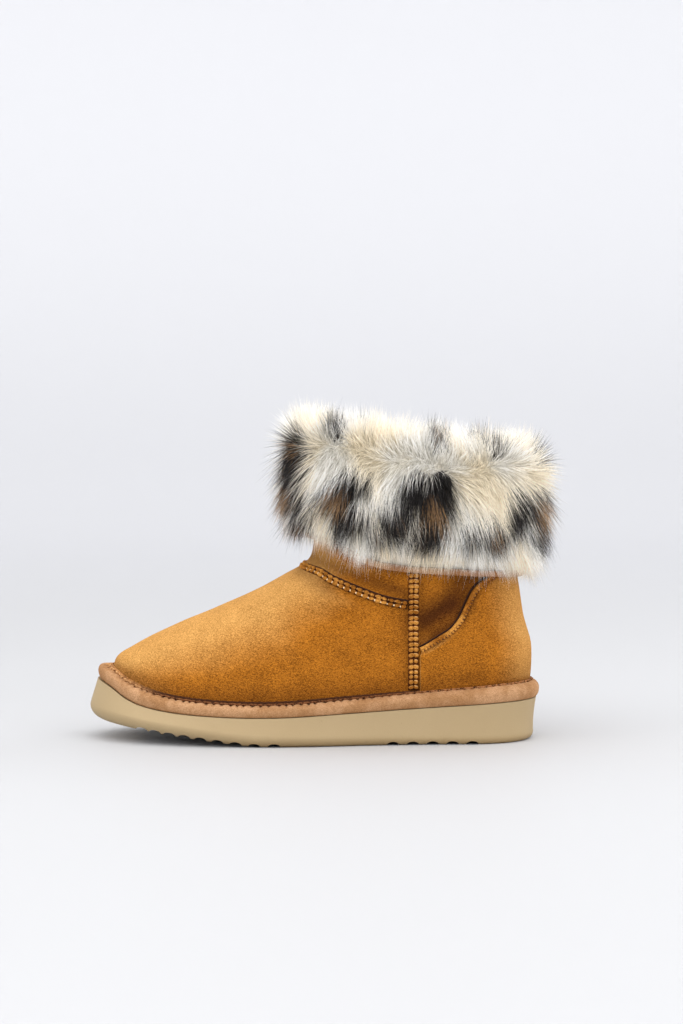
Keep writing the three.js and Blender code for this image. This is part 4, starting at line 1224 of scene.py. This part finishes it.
def furMaterial(name, rootShade):
    # the hair glows a little by its own colour (Emission Strength 0.19): painted light
    material, net, feed = newMaterial(name, {
        "Roughness": 0.42, "Specular IOR Level": 0.4, "Emission Strength": 0.19})
    root = net.attribute("root", "Vector")
    along, strand = net.attribute("along"), net.attribute("strand")
    rough = net.noise(root, 230, 3, 0.65)
    broad = net.noise(root, 42, 2, 0.5)
    other = net.maths("FRACT", strand * 17.0)  # a second random number for each hair
    field = net.attribute("dark") + (rough - 0.5) * 0.75 + (other - 0.5) * 0.36
    cream = net.blend(net.step(broad, 0.42, 0.6), rgba(255, 244, 222), rgba(255, 253, 249))
    pale = net.blend(net.step(field, 0.2, 0.5) * 0.4, cream, rgba(232, 232, 236))
    brown = net.attribute("brown") + (rough - 0.5) * 0.7 + (strand - 0.5) * 0.6
    deep = net.blend(net.step(brown, 0.34, 0.5), rgba(24, 20, 20), rgba(176, 138, 98))
    deep = net.blend(net.step(along, 0.7, 1.0) * 0.3, deep, rgba(150, 142, 136))
    colour = net.blend(net.step(field, 0.45, 0.56), pale, deep)
    shade = mix(rootShade, 1.0, net.step(along, 0.0, 0.5)) * (0.62 + strand * 0.48)
    shown = net.dimmed(colour, shade, 1.05, 1.2)
    # the glow brightens the fur: painted light
    feed(Base_Color=shown, Emission_Color=shown)
    return material


furHair = furMaterial("fur_hair", 0.66)
underAt = np.linspace(0.02, 1.0, fur["underRows"])
u, _, place, _ = furSkin(underAt)
u = u[0, :-1]
wayBack = [cuffPoint(u, above + hemLift(u) * lifted, out) for above, out, lifted in
           ((-55.0, 3.2, 1), (-28.0, 3.2, 0.5), (1.6, 3.2, 0), (1.6, -3.6, 0), (-24.5, -3.6, 0))]
underlayer = loftPiece("fur_underlayer", [row[:-1] for row in place] + wayBack, [])
points = np.array([v.co for v in underlayer.data.vertices]) / mm
dark, brown = spotField(points)
# along 0.12 gives the underlayer the hair material's painted root shade
addValues(underlayer, {"dark": dark, "brown": brown, "along": np.full(len(points), 0.12),
                       "strand": np.full(len(points), 0.5)})
addValues(underlayer, {"root": points * mm}, "FLOAT_VECTOR")
underlayer.data.materials.append(furHair)
settle(underlayer, "fur", "fur_cuff")

hairTree = hairNodes()
coat = dict(share=11800, width=0.36, spread=0.26, droop=0.25, clump=3.4, pull=0.42, tuft=0.22,
            longer=1, shortest=0.6, wave=0.6, bends=3)
hairSets = {
    "fur_inside": dict(coat, low=0.0, high=0.25, rows=14, share=9000, width=0.5, spread=0.35,
                       droop=0.3, clump=4.5, pull=0.45, tuft=0.15, shortest=0.7, wave=0.5,
                       bends=2),
    "fur_crest": dict(coat, low=0.25, high=0.53, rows=18),
    "fur_side": dict(coat, low=0.53, high=0.77, rows=16),
    "fur_skirt": dict(coat, low=0.77, high=1.0, rows=16, spread=0.28, droop=0.2, clump=3.2,
                      tuft=0.2),
    "fur_guard": dict(coat, low=0.27, high=0.97, rows=30, share=5600, width=0.26, spread=0.5,
                      droop=0.35, clump=6.0, pull=0.1, tuft=0.1, longer=1.15, shortest=0.8,
                      wave=0.9),
}
for seed, (name, one) in enumerate(hairSets.items()):
    skin = skinPiece(name, one["low"], one["high"], one["rows"], one["longer"])
    area = sum(face.area for face in skin.data.polygons)
    grow(skin, hairTree, {
        "Density": one["share"] / area, "Seed": seed + 5, "Width": one["width"] * mm,
        "Spread": one["spread"], "Droop": one["droop"], "Clump Size": one["clump"] * mm,
        "Clump Pull": one["pull"], "Tuft Pull": one["tuft"], "Shortest": one["shortest"],
        "Wave": one["wave"], "Bends": one["bends"], "Material": furHair})
    settle(skin, "fur", "fur_cuff")
    print(name, len(skin.data.polygons), "faces")


print("floor and light")
# the floor's colour is painted darker near the boot and lighter far off and up the wall: painted
# shade and light in place of the lamps' falloff
room = {"flat": 1900, "curve": 1300, "wall": 2300, "around": 96, "sunk": 0.05,
        "nearPaint": rgba(190, 190, 191), "farPaint": rgba(212, 212, 214),
        "wallPaint": rgba(229, 229, 231)}
floorPaint, net, feed = newMaterial("floor_paint", {"Roughness": 0.6, "Specular IOR Level": 0.15})
fromMiddle = net.vector("LENGTH", net.place(), output=1)
# painted shade near the middle, painted light far off
paint = net.blend(net.step(fromMiddle, 0.5, 2.3), room["nearPaint"], room["farPaint"])
feed(Base_Color=net.blend(net.step(fromMiddle, 2.4, 3.3), paint, room["wallPaint"]))
profile = [(room["flat"] * k / 4, 0) for k in range(1, 5)]
profile += [(room["flat"] + room["curve"] * math.sin(a), room["curve"] * (1 - math.cos(a)))
            for a in np.linspace(0.1, math.pi / 2, 12)]
profile.append((room["flat"] + room["curve"], room["wall"]))
angles = np.linspace(0, 2 * math.pi, room["around"], endpoint=False)
points = [(0, 0, 0)]
for far, high in profile:
    points += [(far * math.cos(a), far * math.sin(a), high - room["sunk"]) for a in angles]
n = room["around"]
faces = [(0, 1 + i, 1 + (i + 1) % n) for i in range(n)]
faces += [(1 + r * n + i, 1 + (r + 1) * n + i, 1 + (r + 1) * n + (i + 1) % n,
           1 + r * n + (i + 1) % n) for r in range(len(profile) - 1) for i in range(n)]
floor = addMesh("floor", points, faces, [floorPaint])
floor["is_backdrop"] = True

lights = [  # name, place, aim, size, power, colour
    ("top_softbox", (-0.1, -0.35, 1.45), (0, 0, 0.05), 1.5, 8.3, (1, 1, 1)),
    ("left_side", (-1.45, -0.8, 0.75), (-0.06, 0, 0.05), 1.1, 6.6, (1, 1, 1)),
    ("right_back", (1.3, 0.3, 0.9), (0, 0, 0.1), 1.0, 5.6, (1, 1, 1)),
    ("right_front", (1.5, -1.7, 0.85), (0.05, 0, 0.1), 1.4, 14.3, (1, 1, 1)),
    ("front", (-0.5, -2.1, 1.2), (0.02, 0, 0.1), 1.6, 9.2, (1, 0.99, 0.97)),
]
for name, place, aim, size, power, colour in lights:
    data = bpy.data.lights.new(name, "AREA")
    data.shape, data.size, data.size_y = "RECTANGLE", size, size
    data.energy, data.color = power, colour
    lamp = bpy.data.objects.new(name, data)
    lamp.location = place
    away = np.subtract(aim, place)
    lamp.rotation_euler = (math.acos(-away[2] / np.linalg.norm(away)), 0,
                           math.atan2(away[1], away[0]) - math.pi / 2)
    scene.collection.objects.link(lamp)

daylight = {"colour": (0.97, 0.98, 1, 1), "strength": 1.31}
world = bpy.data.worlds.new("daylight")
world.use_nodes = True
background = world.node_tree.nodes["Background"]
background.inputs["Color"].default_value = daylight["colour"]
background.inputs["Strength"].default_value = daylight["strength"]
scene.world = world
scene.view_settings.view_transform = "Standard"

count = sum(len(p.vertices) - 2 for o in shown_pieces() if o.type == "MESH" for p in o.data.polygons)
print("triangles", count)
low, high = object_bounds()
{"cad": [list(cadLow), list(cadHigh)], "visual": [list(low), list(high)]}
